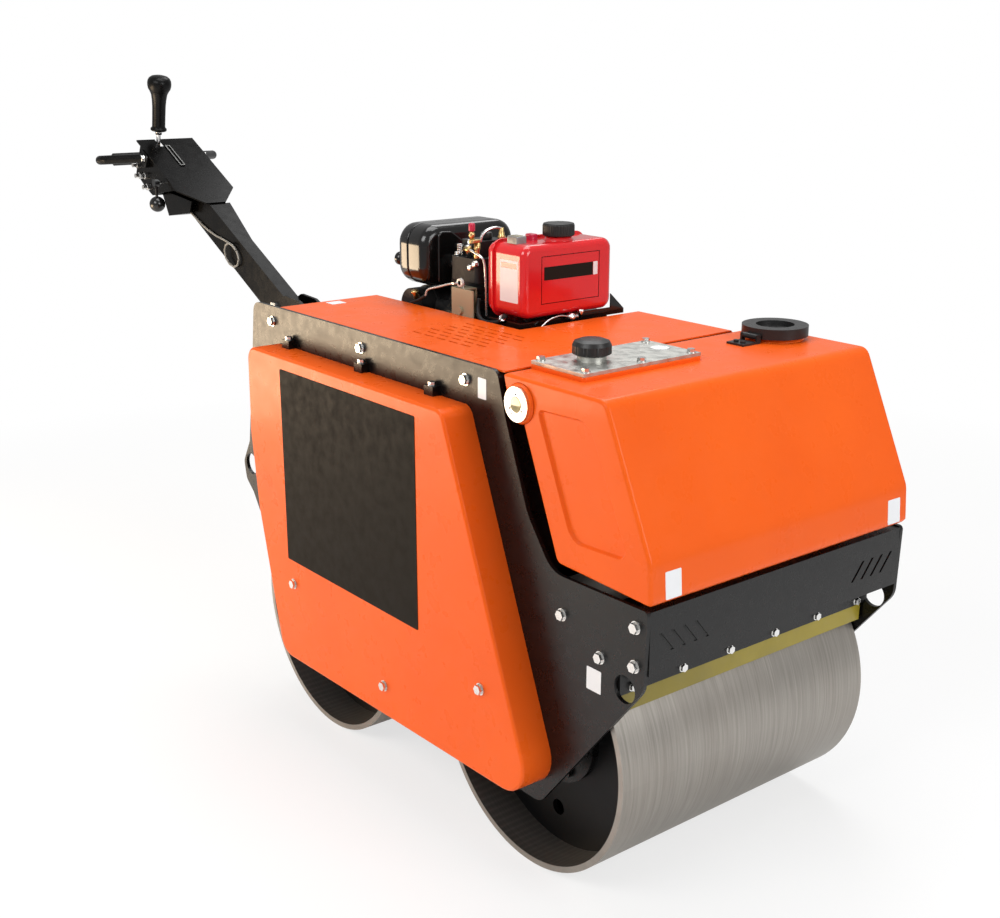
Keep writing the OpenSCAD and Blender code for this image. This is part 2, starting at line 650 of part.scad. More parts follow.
// Water cap with a dished top, hinged on a strap that two screws hold
strap_w = 34;
strap_t = 4;
strap_root = 38;
hinge_r = 5;
hinge_y = cap_y - cap_d / 2 - hinge_r - cut;
hinge_z = deck_rise + neck_h + hinge_r;
module water_cap() color(rubber_black) machine() {
    z0 = deck_rise + neck_h + fit_gap;
    difference() {
        union() {
            rod_z(cap_x, cap_y, cap_d / 2, z0, z0 + cap_h);
            block(cap_x - strap_w / 2, cap_x + strap_w / 2, hinge_y, cap_y - neck_d / 2,
                z0 + hinge_r / 2, z0 + 2 * hinge_r);
            rod_x(hinge_y, hinge_z + fit_gap, hinge_r, cap_x - strap_w / 2, cap_x + strap_w / 2);
        }
        rod_z(cap_x, cap_y, 0.29 * cap_d, z0 + cap_h / 2, z0 + cap_h + cut);
        rod_x(hinge_y, hinge_z + fit_gap, hinge_r / 2 + shaft_gap, cap_x - strap_w, cap_x + strap_w);
    }
}
module cap_strap() color(rubber_black) machine() {
    y0 = hinge_y - hinge_r - strap_root;
    block(cap_x - strap_w / 2, cap_x + strap_w / 2, y0, hinge_y - hinge_r - 2 * fit_gap,
        deck_rise, deck_rise + strap_t);
    for (s = [-1, 1]) rod_z(cap_x + s * strap_w / 4, y0 + strap_root / 3, hinge_r,
        deck_rise + strap_t, deck_rise + 2 * strap_t);
    for (s = [-1, 1]) translate([cap_x + s * (strap_w / 2 + fit_gap + strap_t / 2), 0, 0]) {
        block(-strap_t / 2, strap_t / 2, y0, hinge_y + hinge_r, deck_rise, deck_rise + strap_t);
        block(-strap_t / 2, strap_t / 2, hinge_y - hinge_r, hinge_y + hinge_r, deck_rise,
            hinge_z + hinge_r);
    }
    rod_x(hinge_y, hinge_z + fit_gap, hinge_r / 2, cap_x - strap_w / 2 - strap_t,
        cap_x + strap_w / 2 + strap_t);
    block(cap_x - strap_w / 2 - strap_t, cap_x + strap_w / 2 + strap_t, y0, y0 + strap_t,
        deck_rise, deck_rise + strap_t);
}

// Black grease elbows seen through the front tie down holes
elbow_r = 8;
module grease_elbows() color(black) machine() {
    p = on_frame(tie_shares[0]);
    both_sides() {
        rod_x(-plate_in + beam_w / 2, front_beam_z - beam_w / 4, elbow_r, carrier_x,
            carrier_x + 2 * elbow_r);
        rod_z(carrier_x + 2 * elbow_r, -plate_in + beam_w / 2, elbow_r, p[1],
            front_beam_z - beam_w / 4 + elbow_r);
    }
}

// Drums: shell, two webs and a centre tube
hub_r = 110;
hub_t = 14;
hub_pcd_r = 90;
hub_bolts = 6;
centre_r = 70;
plug_r = 16;
web_y = drum_w / 2 - web_inset;
module drum() {
    difference() {
        rod_y(0, 0, drum_r, -drum_w / 2, drum_w / 2);
        rod_y(0, 0, drum_r - drum_t, -drum_w / 2 - cut, drum_w / 2 + cut);
    }
    both_sides() difference() {
        rod_y(0, 0, drum_r - drum_t, -web_y, -web_y + web_t);
        rod_y(0, 0, axle_r, -web_y - cut, -web_y + web_t + cut);
        rod_y(0, -(hub_r + drum_r - drum_t) / 2, plug_r, -web_y - cut, -web_y + web_t + cut);
    }
    difference() {
        rod_y(0, 0, centre_r, -web_y + web_t, web_y - web_t);
        rod_y(0, 0, centre_r - drum_t, -web_y + web_t - cut, web_y - web_t + cut);
    }
}
sprocket_t = 5;
end_play = 3;
axle_end = -chain_y + sprocket_t + end_play;
module stub_axle(reach) {
    rod_y(0, 0, hub_r, -web_y - hub_t, -web_y);
    rod_y(0, 0, axle_r, -reach, -web_y + web_t);
    for (a = [0 : 360 / hub_bolts : 359]) rotate([0, a, 0]) rod_y(hub_pcd_r, 0, bolt_hex_r,
        -web_y - hub_t - bolt_head_h, -web_y - hub_t);
}
module axle_pair() {
    stub_axle(axle_end);
    mirror([0, 1, 0]) stub_axle(plate_out);
}
module front_drum() color(steel) machine() translate([axle_x, 0, 0]) drum();
module rear_drum() color(steel) machine() translate([-axle_x, 0, 0]) drum();
module front_axle() color(black) machine() translate([axle_x, 0, 0]) axle_pair();
module rear_axle() color(black) machine() translate([-axle_x, 0, 0]) axle_pair();

// Bearings: a flanged housing and a bearing ring at each end of each axle
housing_r = 52;
housing_flange_r = 78;
housing_flange_t = 14;
housing_end = web_y + hub_t + bolt_head_h + end_play;
bearing_r = 40;
bearing_w = 23;
module housing() difference() {
    union() {
        rod_y(0, 0, housing_flange_r, -plate_in, -plate_in + housing_flange_t);
        rod_y(0, 0, housing_r, -plate_in, -housing_end);
    }
    rod_y(0, 0, bearing_r, -housing_end - bearing_w, -housing_end + cut);
    rod_y(0, 0, axle_hole_r, -plate_in - cut, -housing_end + cut);
}
module bearing_housings() color(black) machine() both_sides() for (s = [-1, 1])
    translate([s * axle_x, 0, 0]) housing();
module drum_bearings() color(steel) machine() both_sides() for (s = [-1, 1])
    translate([s * axle_x, 0, 0]) difference() {
        rod_y(0, 0, bearing_r, -housing_end - bearing_w, -housing_end);
        rod_y(0, 0, axle_r + shaft_gap, -housing_end - bearing_w - cut, -housing_end + cut);
    }

// Belt and chain loops: circles joined by their outer tangents, in clockwise order
function tangent(a, b, ra, rb) =
    let (d = b - a, t = atan2(d.y, d.x) + acos((ra - rb) / norm(d)), n = [cos(t), sin(t)])
    [a + ra * n, b + rb * n];
module loop_area(centres, radii, grow) {
    n = len(centres);
    for (i = [0 : n - 1]) translate(centres[i]) circle(radii[i] + grow);
    polygon([for (i = [0 : n - 1]) each tangent(centres[i], centres[(i + 1) % n],
        radii[i] + grow, radii[(i + 1) % n] + grow)]);
}
module loop(centres, radii, inner, outer, y0, y1) prism_y(y0, y1) difference() {
    loop_area(centres, radii, outer);
    loop_area(centres, radii, inner);
}

// Chain: two rows of link plates, joined by pins along the straight runs
chain_pins = 9;
chain_pin_r = 2.2;
motor_sprocket_r = sprocket_r * motor_teeth / sprocket_teeth;
chain_centres = [[-axle_x, 0], [0, motor_z], [axle_x, 0]];
chain_radii = [sprocket_r, motor_sprocket_r, sprocket_r];
module drive_chain() color(steel) machine() {
    for (s = [-1, 1]) loop(chain_centres, chain_radii, -chain_half_h, chain_half_h,
        chain_y + s * chain_half_w - chain_link_t / 2, chain_y + s * chain_half_w + chain_link_t / 2);
    for (i = [0 : 2]) {
        run = tangent(chain_centres[i], chain_centres[(i + 1) % 3], chain_radii[i],
            chain_radii[(i + 1) % 3]);
        for (k = [1 : chain_pins]) {
            p = run[0] + (run[1] - run[0]) * (k + 0.5) / (chain_pins + 2);
            rod_y(p.x, p.y, chain_pin_r, chain_y - chain_half_w, chain_y + chain_half_w);
        }
    }
}
tooth_h = 3.5;
module sprocket(pitch_r, teeth, bore_r) difference() {
    prism_y(chain_y - sprocket_t / 2, chain_y + sprocket_t / 2) polygon([
        for (i = [0 : 4 * teeth - 1])
            let (r = pitch_r + (i % 4 < 2 ? -tooth_h : tooth_h), a = i * 90 / teeth)
            [r * cos(a), r * sin(a)]
    ]);
    rod_y(0, 0, bore_r, chain_y - sprocket_t, chain_y + sprocket_t);
}
module drum_sprocket() {
    sprocket(sprocket_r, sprocket_teeth, axle_r);
    difference() {
        rod_y(0, 0, axle_r + 2 * sprocket_t, chain_y + sprocket_t / 2, -plate_out - cut);
        rod_y(0, 0, axle_r, chain_y, -plate_out);
    }
}
module front_sprocket() color(steel) machine() translate([axle_x, 0, 0]) drum_sprocket();
module rear_sprocket() color(steel) machine() translate([-axle_x, 0, 0]) drum_sprocket();

// Hydraulic motor and pump: both bolt to the inner face of the left side plate
unit_flange_r = 48;
unit_flange_t = 12;
unit_r = 36;
unit_l = 120;
unit_port_r = 11;
unit_port_h = 16;
module hydraulic_unit(x, z) difference() {
    union() {
        rod_y(x, z, unit_flange_r, -plate_in, -plate_in + unit_flange_t);
        rod_y(x, z, unit_r, -plate_in, -plate_in + unit_l);
        for (s = [-1, 1]) rod_z(x + s * unit_port_r * 1.5, -plate_in + unit_l * 0.7, unit_port_r,
            z, z + unit_r + unit_port_h);
    }
    rod_y(x, z, drive_shaft_d / 2 + shaft_gap, -plate_in - cut, -plate_in + unit_l / 2);
}
module hydraulic_motor() color(black) machine() hydraulic_unit(0, motor_z);
module hydraulic_pump() color(zinc) machine() hydraulic_unit(pump_x, pump_z);
module motor_sprocket() color(steel) machine() {
    translate([0, 0, motor_z]) sprocket(motor_sprocket_r, motor_teeth, drive_shaft_d / 2);
    rod_y(0, motor_z, drive_shaft_d / 2, -axle_end, -plate_in + unit_l / 2 - fit_gap);
}

// Exciter: a tube between the plates with an eccentric shaft inside
exciter_room = norm([axle_x, exciter_z]) - drum_r;
exciter_tube_r = 0.63 * exciter_room;
exciter_flange_r = 0.83 * exciter_room;
exciter_wall = 8;
exciter_plug = 28;
weight_r = 0.48 * exciter_room;
weight_l = 130;
pulley_w = 16;
pump_belt_y = chain_y - chain_half_w - pulley_w / 2 - 2 * end_play;
exciter_belt_y = pump_belt_y - pulley_w - end_play;
module exciter_housing() color(black) machine() difference() {
    union() {
        rod_y(0, exciter_z, exciter_tube_r, -plate_in, plate_in);
        both_sides() rod_y(0, exciter_z, exciter_flange_r, -plate_in, -plate_in + bed_t);
    }
    rod_y(0, exciter_z, exciter_tube_r - exciter_wall, -plate_in + exciter_plug, plate_in - exciter_plug);
    rod_y(0, exciter_z, exciter_d / 2 + shaft_gap, -plate_in - cut, plate_in + cut);
}
module v_pulley(x, z, r, y, bore_r) difference() {
    translate([x, y, z]) rotate([90, 0, 0]) rotate_extrude() polygon([
        [0, -pulley_w / 2], [r + belt_t, -pulley_w / 2], [r + belt_t, -pulley_w / 2 + 2 * shaft_lip],
        [r, -pulley_w / 4], [r, pulley_w / 4], [r + belt_t, pulley_w / 2 - 2 * shaft_lip],
        [r + belt_t, pulley_w / 2], [0, pulley_w / 2]
    ]);
    rod_y(x, z, bore_r, y - pulley_w, y + pulley_w);
}
shaft_lip = 0.8;
module exciter_shaft() color(steel) machine() {
    rod_y(0, exciter_z, exciter_d / 2, exciter_belt_y - pulley_w / 2, plate_in + plate_t / 2);
    for (s = [-1, 1]) translate([0, s * weight_l * 0.9, exciter_z]) difference() {
        rod_y(0, 0, weight_r, -weight_l / 2, weight_l / 2);
        block(-2 * weight_r, 2 * weight_r, -weight_l, weight_l, 0, 2 * weight_r);
    }
    v_pulley(0, exciter_z, pulley_r, exciter_belt_y, exciter_d / 2);
}
module pump_pulley() color(steel) machine() {
    rod_y(pump_x, pump_z, drive_shaft_d / 2, pump_belt_y - pulley_w / 2, -plate_in + unit_l / 2 - fit_gap);
    v_pulley(pump_x, pump_z, pump_pulley_r, pump_belt_y, drive_shaft_d / 2);
}
module engine_pulley() color(steel) machine() {
    v_pulley(crank_x, crank_z, pulley_r, pump_belt_y, crank_d / 2);
    v_pulley(crank_x, crank_z, pulley_r, exciter_belt_y, crank_d / 2);
    difference() {
        rod_y(crank_x, crank_z, crank_d, exciter_belt_y, pump_belt_y);
        rod_y(crank_x, crank_z, crank_d / 2, exciter_belt_y - cut, pump_belt_y + cut);
    }
}
module drive_belts() color(rubber_black) machine() {
    c = [crank_x, crank_z];
    w = pulley_w / 4 - fit_gap;
    loop([c, [pump_x, pump_z]], [pulley_r, pump_pulley_r], fit_gap, belt_t,
        pump_belt_y - w, pump_belt_y + w);
    loop([c, [0, exciter_z]], [pulley_r, pulley_r], fit_gap, belt_t,
        exciter_belt_y - w, exciter_belt_y + w);
}

// Rubber buffers: four under the engine and the stop under the handle arm
stop_u = 40;
stop_l = 24;
stop_h = 14;
module rubber_buffers() color(rubber_black) machine() {
    for (s = [-1, 1], y = buffer_y) {
        rod_z(crank_x + s * buffer_dx, y, buffer_r, bed_rise, mount_z);
        rod_z(crank_x + s * buffer_dx, y, bolt_r, bed_rise - bed_t - nut_h, bed_rise);
    }
    arm_frame() block(-stop_u - stop_l / 2, -stop_u + stop_l / 2, -arm_w / 2, arm_w / 2,
        -arm_h / 2 - fit_gap - stop_h, -arm_h / 2 - fit_gap);
}

// Engine: hollow crankcase, finned cylinder, fan housing and starter
case_half = 100;
case_y0 = -175;
case_y1 = 55;
case_h = 195;
case_wall = 10;
crank_web_r = 45;
module crankcase() color([0.16, 0.16, 0.17]) machine() difference() {
    union() {
        prism_y(case_y0, case_y1) outline(box_outline(crank_x - case_half, crank_x + case_half,
            mount_z, case_top, case_wall * 2));
        rod_y(crank_x, crank_z, crank_web_r, case_y0 - case_wall, case_y0 + cut);
    }
    block(crank_x - case_half + case_wall, crank_x + case_half - case_wall, case_y0 + case_wall,
        case_y1 - case_wall, mount_z + case_wall, case_top - case_wall);
    rod_y(crank_x, crank_z, crank_d / 2 + shaft_gap, case_y0 - 2 * case_wall, case_y1 + cut);
}
flywheel_r = 95;
flywheel_t = 30;
flywheel_y = case_y1 + 2 * case_wall;
throw_y = 5;
throw_half = 22;
module crankshaft() color(steel) machine() {
    rod_y(crank_x, crank_z, crank_d / 2, exciter_belt_y - pulley_w / 2, flywheel_y + flywheel_t);
    for (s = [-1, 1]) rod_y(crank_x, crank_z, crank_web_r, throw_y + s * throw_half - case_wall / 2,
        throw_y + s * throw_half + case_wall / 2);
    rod_y(crank_x, crank_z, flywheel_r, flywheel_y, flywheel_y + flywheel_t);
}
fin_count = 9;
fin_t = 4;
cyl_half = 44;
cyl_y0 = -42;
cyl_y1 = 52;
cyl_h = 140;
case_top = mount_z + case_h;
cyl_top = case_top + cyl_h;
head_h = 50;
cyl_r = 42;
head_x0 = crank_x - cyl_half - end_play;
head_x1 = crank_x + cyl_half + end_play;
module engine_cylinder() color([0.30, 0.30, 0.31]) machine() {
    z0 = case_top;
    cy = (cyl_y0 + cyl_y1) / 2;
    rod_z(crank_x, cy, cyl_r, z0, cyl_top);
    for (i = [1 : fin_count]) {
        z = z0 + (cyl_top - z0) * i / (fin_count + 1);
        prism_z(z, z + fin_t) outline(box_outline(crank_x - cyl_half, crank_x + cyl_half,
            cyl_y0, cyl_y1, case_wall));
    }
    prism_z(cyl_top, cyl_top + head_h) outline(box_outline(head_x0, head_x1, cyl_y0, cyl_y1, case_wall));
    // Rocker cover and injector
    prism_z(cyl_top + head_h, cyl_top + head_h + rocker_h) outline(box_outline(head_x0 + case_wall,
        head_x1 - 2 * case_wall, cyl_y0 + 2 * case_wall, cyl_y1, case_wall));
    rod_z(head_x1 - case_wall, cyl_y1 - 2 * case_wall, crank_d / 4, cyl_top + head_h,
        cyl_top + head_h + rocker_h);
}
rocker_h = 34;
module prism_z(z0, z1) translate([0, 0, z0]) linear_extrude(z1 - z0) children();

blower_half = 112;
blower_y1 = flywheel_y + flywheel_t + 4 * sheet_t;
duct_y0 = -60;
duct_h = 82;
module blower_housing() color(black) machine() {
    duct_top = case_top + duct_h;
    duct_x1 = bay_front - 2 * case_wall;
    difference() {
        union() {
            prism_y(case_y1, blower_y1) outline(box_outline(crank_x - blower_half,
                crank_x + blower_half, crank_z - flywheel_r - case_wall, duct_top, case_wall * 2));
            // Air duct under the fuel tank
            block(head_x1 + case_wall, duct_x1, duct_y0, case_y1 + cut, case_top, duct_top);
            block(head_x1 + case_wall, duct_x1, case_y1, fuel_y0 + fuel_w - case_wall, case_top, duct_top);
        }
        rod_y(crank_x, crank_z, flywheel_r + hole_clear, case_y1 - cut, blower_y1 - sheet_t);
        rod_y(crank_x, crank_z, flywheel_r / 2, case_y1 - cut, blower_y1 + cut);
    }
    // Gusset plate behind the duct
    y1 = fuel_y0 + fuel_w;
    prism_x(fuel_x0 + fuel_l * 0.93, fuel_x0 + fuel_l * 0.93 + sheet_t) polygon([
        [y1 - fuel_w / 2, duct_top - case_wall], [y1 + gusset_w, duct_top - case_wall],
        [y1 + gusset_w, duct_top], [y1 + sheet_t, fuel_z0 + gusset_h],
        [y1 + sheet_t, fuel_z0 - fit_gap], [y1 - fuel_w / 2, fuel_z0 - fit_gap]
    ]);
}
gusset_w = 41;
gusset_h = 29;
starter_r = 85;
starter_t = 26;
module recoil_starter() color(black) machine() difference() {
    union() {
        rod_y(crank_x, crank_z, starter_r, blower_y1, blower_y1 + starter_t);
        rod_y(crank_x, crank_z, starter_r * 0.7, blower_y1 + starter_t,
            blower_y1 + starter_t + sheet_t * 2);
    }
    for (a = [0 : 45 : 315]) translate([crank_x, 0, crank_z]) rotate([0, a, 0])
        prism_y(blower_y1 + starter_t / 2, blower_y1 + starter_t + 3 * sheet_t)
        outline(box_outline(starter_r * 0.35, starter_r * 0.6, -bolt_r, bolt_r, sheet_t));
    rod_y(crank_x + starter_r * 0.8, crank_z + starter_r * 0.4, bolt_r, blower_y1 + starter_t / 2,
        blower_y1 + starter_t + cut);
}
pull_w = 24;
pull_l = 70;
module recoil_handle() color(rubber_black) machine() {
    x = crank_x + starter_r * 0.8;
    z = crank_z + starter_r * 0.4;
    y = blower_y1 + starter_t;
    rod_y(x, z, bolt_r - fit_gap, y - starter_t / 2, y + pull_w);
    prism_y(y + fit_gap, y + pull_w) outline(box_outline(x - pull_w / 3, x + pull_w / 3,
        z - pull_l / 2, z + pull_l / 2, bolt_r));
}

// Muffler: two pressed halves with a seam, a guard panel, a pipe and two brackets
muffler_x0 = -409;
muffler_y0 = -82;
muffler_lift = 116;
muffler_z0 = case_top + muffler_lift;
muffler_r = 42;
seam_w = 3;
guard_shares = [[0.15, 0.90], [0.29, 0.89], [0.68, 0.37], [0.68, 0.14], [0.15, 0.05]];
module muffler() color([0.05, 0.05, 0.05]) machine() {
    y1 = muffler_y0 + muffler_w;
    z1 = muffler_z0 + muffler_h;
    half = muffler_l * 0.42;
    prism_x(muffler_x0, muffler_x0 + half)
        outline(box_outline(muffler_y0, y1, muffler_z0, z1, muffler_r));
    prism_x(muffler_x0 + half, muffler_x0 + half + seam_w) outline(box_outline(
        muffler_y0 + seam_w, y1 - seam_w, muffler_z0 + seam_w, z1 - seam_w, muffler_r - seam_w));
    prism_x(muffler_x0 + half + seam_w, muffler_x0 + muffler_l)
        outline(box_outline(muffler_y0, y1, muffler_z0, z1, muffler_r));
    prism_x(muffler_x0 + muffler_l, muffler_x0 + muffler_l + sheet_t) polygon([
        for (p = guard_shares) [muffler_y0 + p[0] * muffler_w, muffler_z0 + p[1] * muffler_h]
    ]);
    // Exhaust pipe from the head
    rod_x((cyl_y0 + cyl_y1) / 2, cyl_top + head_h / 2, pipe_r, muffler_x0 + muffler_l, head_x0);
    // Tail pipe at the rear
    rod_x(muffler_y0 + muffler_r * 0.75, muffler_z0 + muffler_h * 0.36, pipe_r,
        muffler_x0 - 2 * pipe_r, muffler_x0);
    // Foot on the crankcase
    block(muffler_x0 + muffler_l - sheet_t * 2, muffler_x0 + muffler_l, foot_y0, case_y1 - sheet_t,
        case_top, muffler_z0 + sheet_t);
    block(muffler_x0 + muffler_l - sheet_t * 2, crank_x - cyl_half, foot_y0, case_y1 - sheet_t,
        case_top, case_top + sheet_t);
}
pipe_r = 15;
foot_y0 = 16;

// Air filter: a round can beside the muffler
filter_r = 42;
filter_y0 = -58;
filter_y1 = 150;
module air_filter() color(rubber_black) machine() {
    z = muffler_z0 - filter_r - 4 * sheet_t;
    x = muffler_x0 + filter_r * 0.6;
    rod_y(x, z, filter_r, filter_y0, filter_y1);
    rod_y(x, z, filter_r + sheet_t, filter_y0 + filter_r, filter_y0 + filter_r * 1.2);
    rod_x((cyl_y0 + cyl_y1) / 2 - pipe_r, z, pipe_r, muffler_x0 + filter_r, crank_x - cyl_half);
}

// Fuel tank: two pressed halves with a seam flange, a neck and a fuel tap
fuel_x0 = -130;
fuel_y0 = -55;
fuel_seat = 6;
fuel_z0 = case_top + duct_h + fuel_seat;
fuel_r = 20;
fuel_seam_share = 0.36;
flange_reach = 6;
fuel_neck_r = 24;
fuel_neck_h = 8;
fuel_neck_x = fuel_x0 + fuel_l * 0.68;
fuel_neck_y = fuel_y0 + fuel_w * 0.53;
module fuel_shape(grow) outline(box_outline(fuel_y0 - grow, fuel_y0 + fuel_w + grow,
    fuel_z0 - grow, fuel_z0 + fuel_h + grow, fuel_r + grow));
module fuel_tank() color(fuel_red) machine() {
    seam = fuel_x0 + fuel_l * fuel_seam_share;
    difference() {
        union() {
            prism_x(fuel_x0, fuel_x0 + fuel_l) fuel_shape(0);
            prism_x(seam - sheet_t / 2, seam + sheet_t / 2) fuel_shape(flange_reach);
            rod_z(fuel_neck_x, fuel_neck_y, fuel_neck_r, fuel_z0 + fuel_h - sheet_t,
                fuel_z0 + fuel_h + fuel_neck_h);
        }
        block(fuel_x0 + sheet_t, fuel_x0 + fuel_l - sheet_t, fuel_y0 + fuel_r / 2,
            fuel_y0 + fuel_w - fuel_r / 2, fuel_z0 + sheet_t * 2, fuel_z0 + fuel_h - sheet_t * 2);
        rod_z(fuel_neck_x, fuel_neck_y, fuel_neck_r - sheet_t, fuel_z0 + fuel_h - 3 * sheet_t,
            fuel_z0 + fuel_h + fuel_neck_h + cut);
    }
    // Straps down to the air duct
    for (y = [0.2, 0.8]) block(fuel_x0 + fuel_l * 0.3, fuel_x0 + fuel_l * 0.5,
        fuel_y0 + y * fuel_w - beam_w / 4, fuel_y0 + y * fuel_w + beam_w / 4,
        case_top + duct_h, fuel_z0 + sheet_t);
    // Level float housing on top
    prism_z(fuel_z0 + fuel_h - sheet_t, fuel_z0 + fuel_h + gauge_h) outline(box_outline(
        fuel_x0 + fuel_l * 0.45, fuel_x0 + fuel_l * 0.72, fuel_y0 + gauge_h,
        fuel_y0 + 3 * gauge_h, sheet_t));
}
gauge_h = 14;
fuel_cap_h = 26;
module fuel_cap() color(rubber_black) machine() {
    z = fuel_z0 + fuel_h + fuel_neck_h + fit_gap;
    r = fuel_cap_d / 2;
    translate([fuel_neck_x, fuel_neck_y, z]) difference() {
        cylinder(r = r, h = fuel_cap_h);
        for (a = [0 : 15 : 345]) rotate([0, 0, a]) translate([r + 1.2 * shaft_lip, 0, -cut])
            cylinder(r = 2.5 * shaft_lip, h = fuel_cap_h + 2 * cut, $fn = 6);
    }
    rod_z(fuel_neck_x, fuel_neck_y, fuel_neck_r - sheet_t - fit_gap, z - fuel_neck_h, z);
}

// Decompression lever on the head and the speed control beside the cylinder
decomp_x = crank_x + cyl_half - small_flange_r;
decomp_y = cyl_y0 + case_wall;
decomp_z = cyl_top + head_h;
decomp_post_r = 7;
decomp_reach = 14;
module decompression_lever() color([0.75, 0.10, 0.12]) machine() {
    z1 = decomp_z + rocker_h + end_play;
    rod_z(decomp_x, decomp_y, decomp_post_r, decomp_z + fit_gap, z1);
    block(decomp_x - decomp_post_r, decomp_x + decomp_post_r, decomp_y - decomp_reach, decomp_y,
        z1, z1 + 2 * sheet_t);
    rod_z(decomp_x, decomp_y - decomp_reach, decomp_post_r + cut, z1, z1 + 6 * decomp_post_r);
}
speed_x0 = -208;
speed_w = 74;
speed_lift = 67;
speed_z0 = case_top + speed_lift;
speed_h = 65;
speed_depth = 34;
module speed_bracket() color(zinc) machine() {
    block(speed_x0, speed_x0 + speed_w, bay_left + fit_gap, bay_left + fit_gap + sheet_t,
        speed_z0, speed_z0 + speed_h);
    block(speed_x0, speed_x0 + sheet_t, bay_left + fit_gap, bay_left + speed_depth,
        speed_z0, speed_z0 + speed_h);
    block(speed_x0, speed_x0 + speed_w * 0.6, bay_left + fit_gap, bay_left + speed_depth,
        speed_z0 + speed_h - sheet_t, speed_z0 + speed_h);
    rod_y(speed_x0 + speed_w * 0.45, speed_z0 + speed_h * 0.3, small_hex_r,
        bay_left - small_hex_h, bay_left + fit_gap);
    // Foot on the crankcase
    block(speed_x0, speed_x0 + speed_w * 0.6, bay_left + speed_depth - sheet_t,
        bay_left + speed_depth, case_top, speed_z0 + speed_h);
}
module speed_lever() color(zinc) machine() {
    x = speed_x0 + speed_w * 0.25;
    z = speed_z0 + speed_h;
    rod_z(x, bay_left + speed_depth / 2, small_bolt_r, z, z + 4 * sheet_t);
    block(x - small_bolt_r, x + small_bolt_r, bay_left - speed_depth * 0.3,
        bay_left + speed_depth / 2, z + 3 * sheet_t, z + 4 * sheet_t);
}

// Handle bracket: two cheeks from the rear beam to the fold pivot
cheek_t = 8;
pin_r = 12;
cheek_y = arm_w / 2 + 2 * fit_gap;
// Shares of the way from the bracket's foot to the pivot, of the pivot height and the fillet
cheek_shares = [
    [0.000, 0.530, 0.1], [0.000, 0.797, 0.1], [0.742, 1.063, 0.6], [0.893, 1.070, 0.4],
    [1.060, 1.000, 1.0], [1.170, 0.940, 0.4], [1.155, 0.895, 0.4], [1.030, 0.890, 0.6],
    [0.270, 0.514, 1.0]
];
floor_shares = [
    [0.000, 0.550], [0.270, 0.534], [0.620, 0.714], [0.620, 0.694], [0.270, 0.514], [0.000, 0.530]
];
roof_shares = [[0.000, 0.797], [0.700, 1.048], [0.700, 1.028], [0.000, 0.777]];
foot_x = -rear_face - bed_t;
function on_bracket(p) = [foot_x + p[0] * (-pivot_back - foot_x), p[1] * pivot_rise];
module handle_bracket() color(black) machine() {
    both_sides() difference() {
        prism_y(-cheek_y - cheek_t, -cheek_y)
            outline([for (p = cheek_shares) [each on_bracket(p), p[2] * plate_fillet]]);
        rod_y(-pivot_back, pivot_rise, pin_r + shaft_gap, -cheek_y - cheek_t - cut, -cheek_y + cut);
    }
    // Plates that close the bracket below and above, and the shelf of the stop
    for (shares = [floor_shares, roof_shares])
        prism_y(-cheek_y - cut, cheek_y + cut) polygon([for (p = shares) on_bracket(p)]);
    arm_frame() block(-stop_u - stop_l * 2 / 3, -stop_u + stop_l * 2 / 3, -cheek_y - cut, cheek_y + cut,
        -arm_h / 2 - fit_gap - stop_h - sheet_t * 2, -arm_h / 2 - fit_gap - stop_h);
    // Foot plate on the rear beam
    block(foot_x, foot_x + bed_t, -foot_half, foot_half, foot_low_share * pivot_rise,
        foot_high_share * pivot_rise);
}
module handle_pin() color(zinc) machine() {
    y = cheek_y + cheek_t;
    rod_y(-pivot_back, pivot_rise, pin_r, -y, y);
    for (s = [-1, 1]) translate([-pivot_back, s > 0 ? y + bolt_head_h : -y, pivot_rise])
        rotate([90, 0, 0]) cylinder(r = pin_r * 1.5, h = bolt_head_h, $fn = 6);
}

// Everything on the arm is drawn with the arm level, reaching to minus X from the pivot
module arm_frame() translate([-pivot_back, 0, pivot_rise]) rotate([0, arm_slope, 0]) children();
arm_stub = 34;
arm_end = 80;
arm_wall = 5;
head_l = 345;
head_u = arm_reach - head_l;
head_drop = 121;
rib_u = 250;
rib_w = 24;
module handle_arm() color(black) machine() arm_frame() {
    difference() {
        block(-arm_reach + arm_end, arm_stub, -arm_w / 2, arm_w / 2, -arm_h / 2, arm_h / 2);
        block(-arm_reach + arm_end - cut, -arm_stub, -arm_w / 2 + arm_wall, arm_w / 2 - arm_wall,
            -arm_h / 2 + arm_wall, arm_h / 2 - arm_wall);
        rod_y(0, 0, pin_r + shaft_gap, -arm_w, arm_w);
    }
    // Gusset rib that widens the arm below the head
    prism_z(arm_h / 2 - arm_wall, arm_h / 2) polygon([
        [-rib_u, arm_w / 2], [-head_u, arm_w / 2], [-head_u, arm_w / 2 + rib_w]
    ]);
}
plate_top_t = 4;
head_taper = 70;
head_front_w = 60;
notch_w = 14;
notch_l = 40;
notch_y = -25;
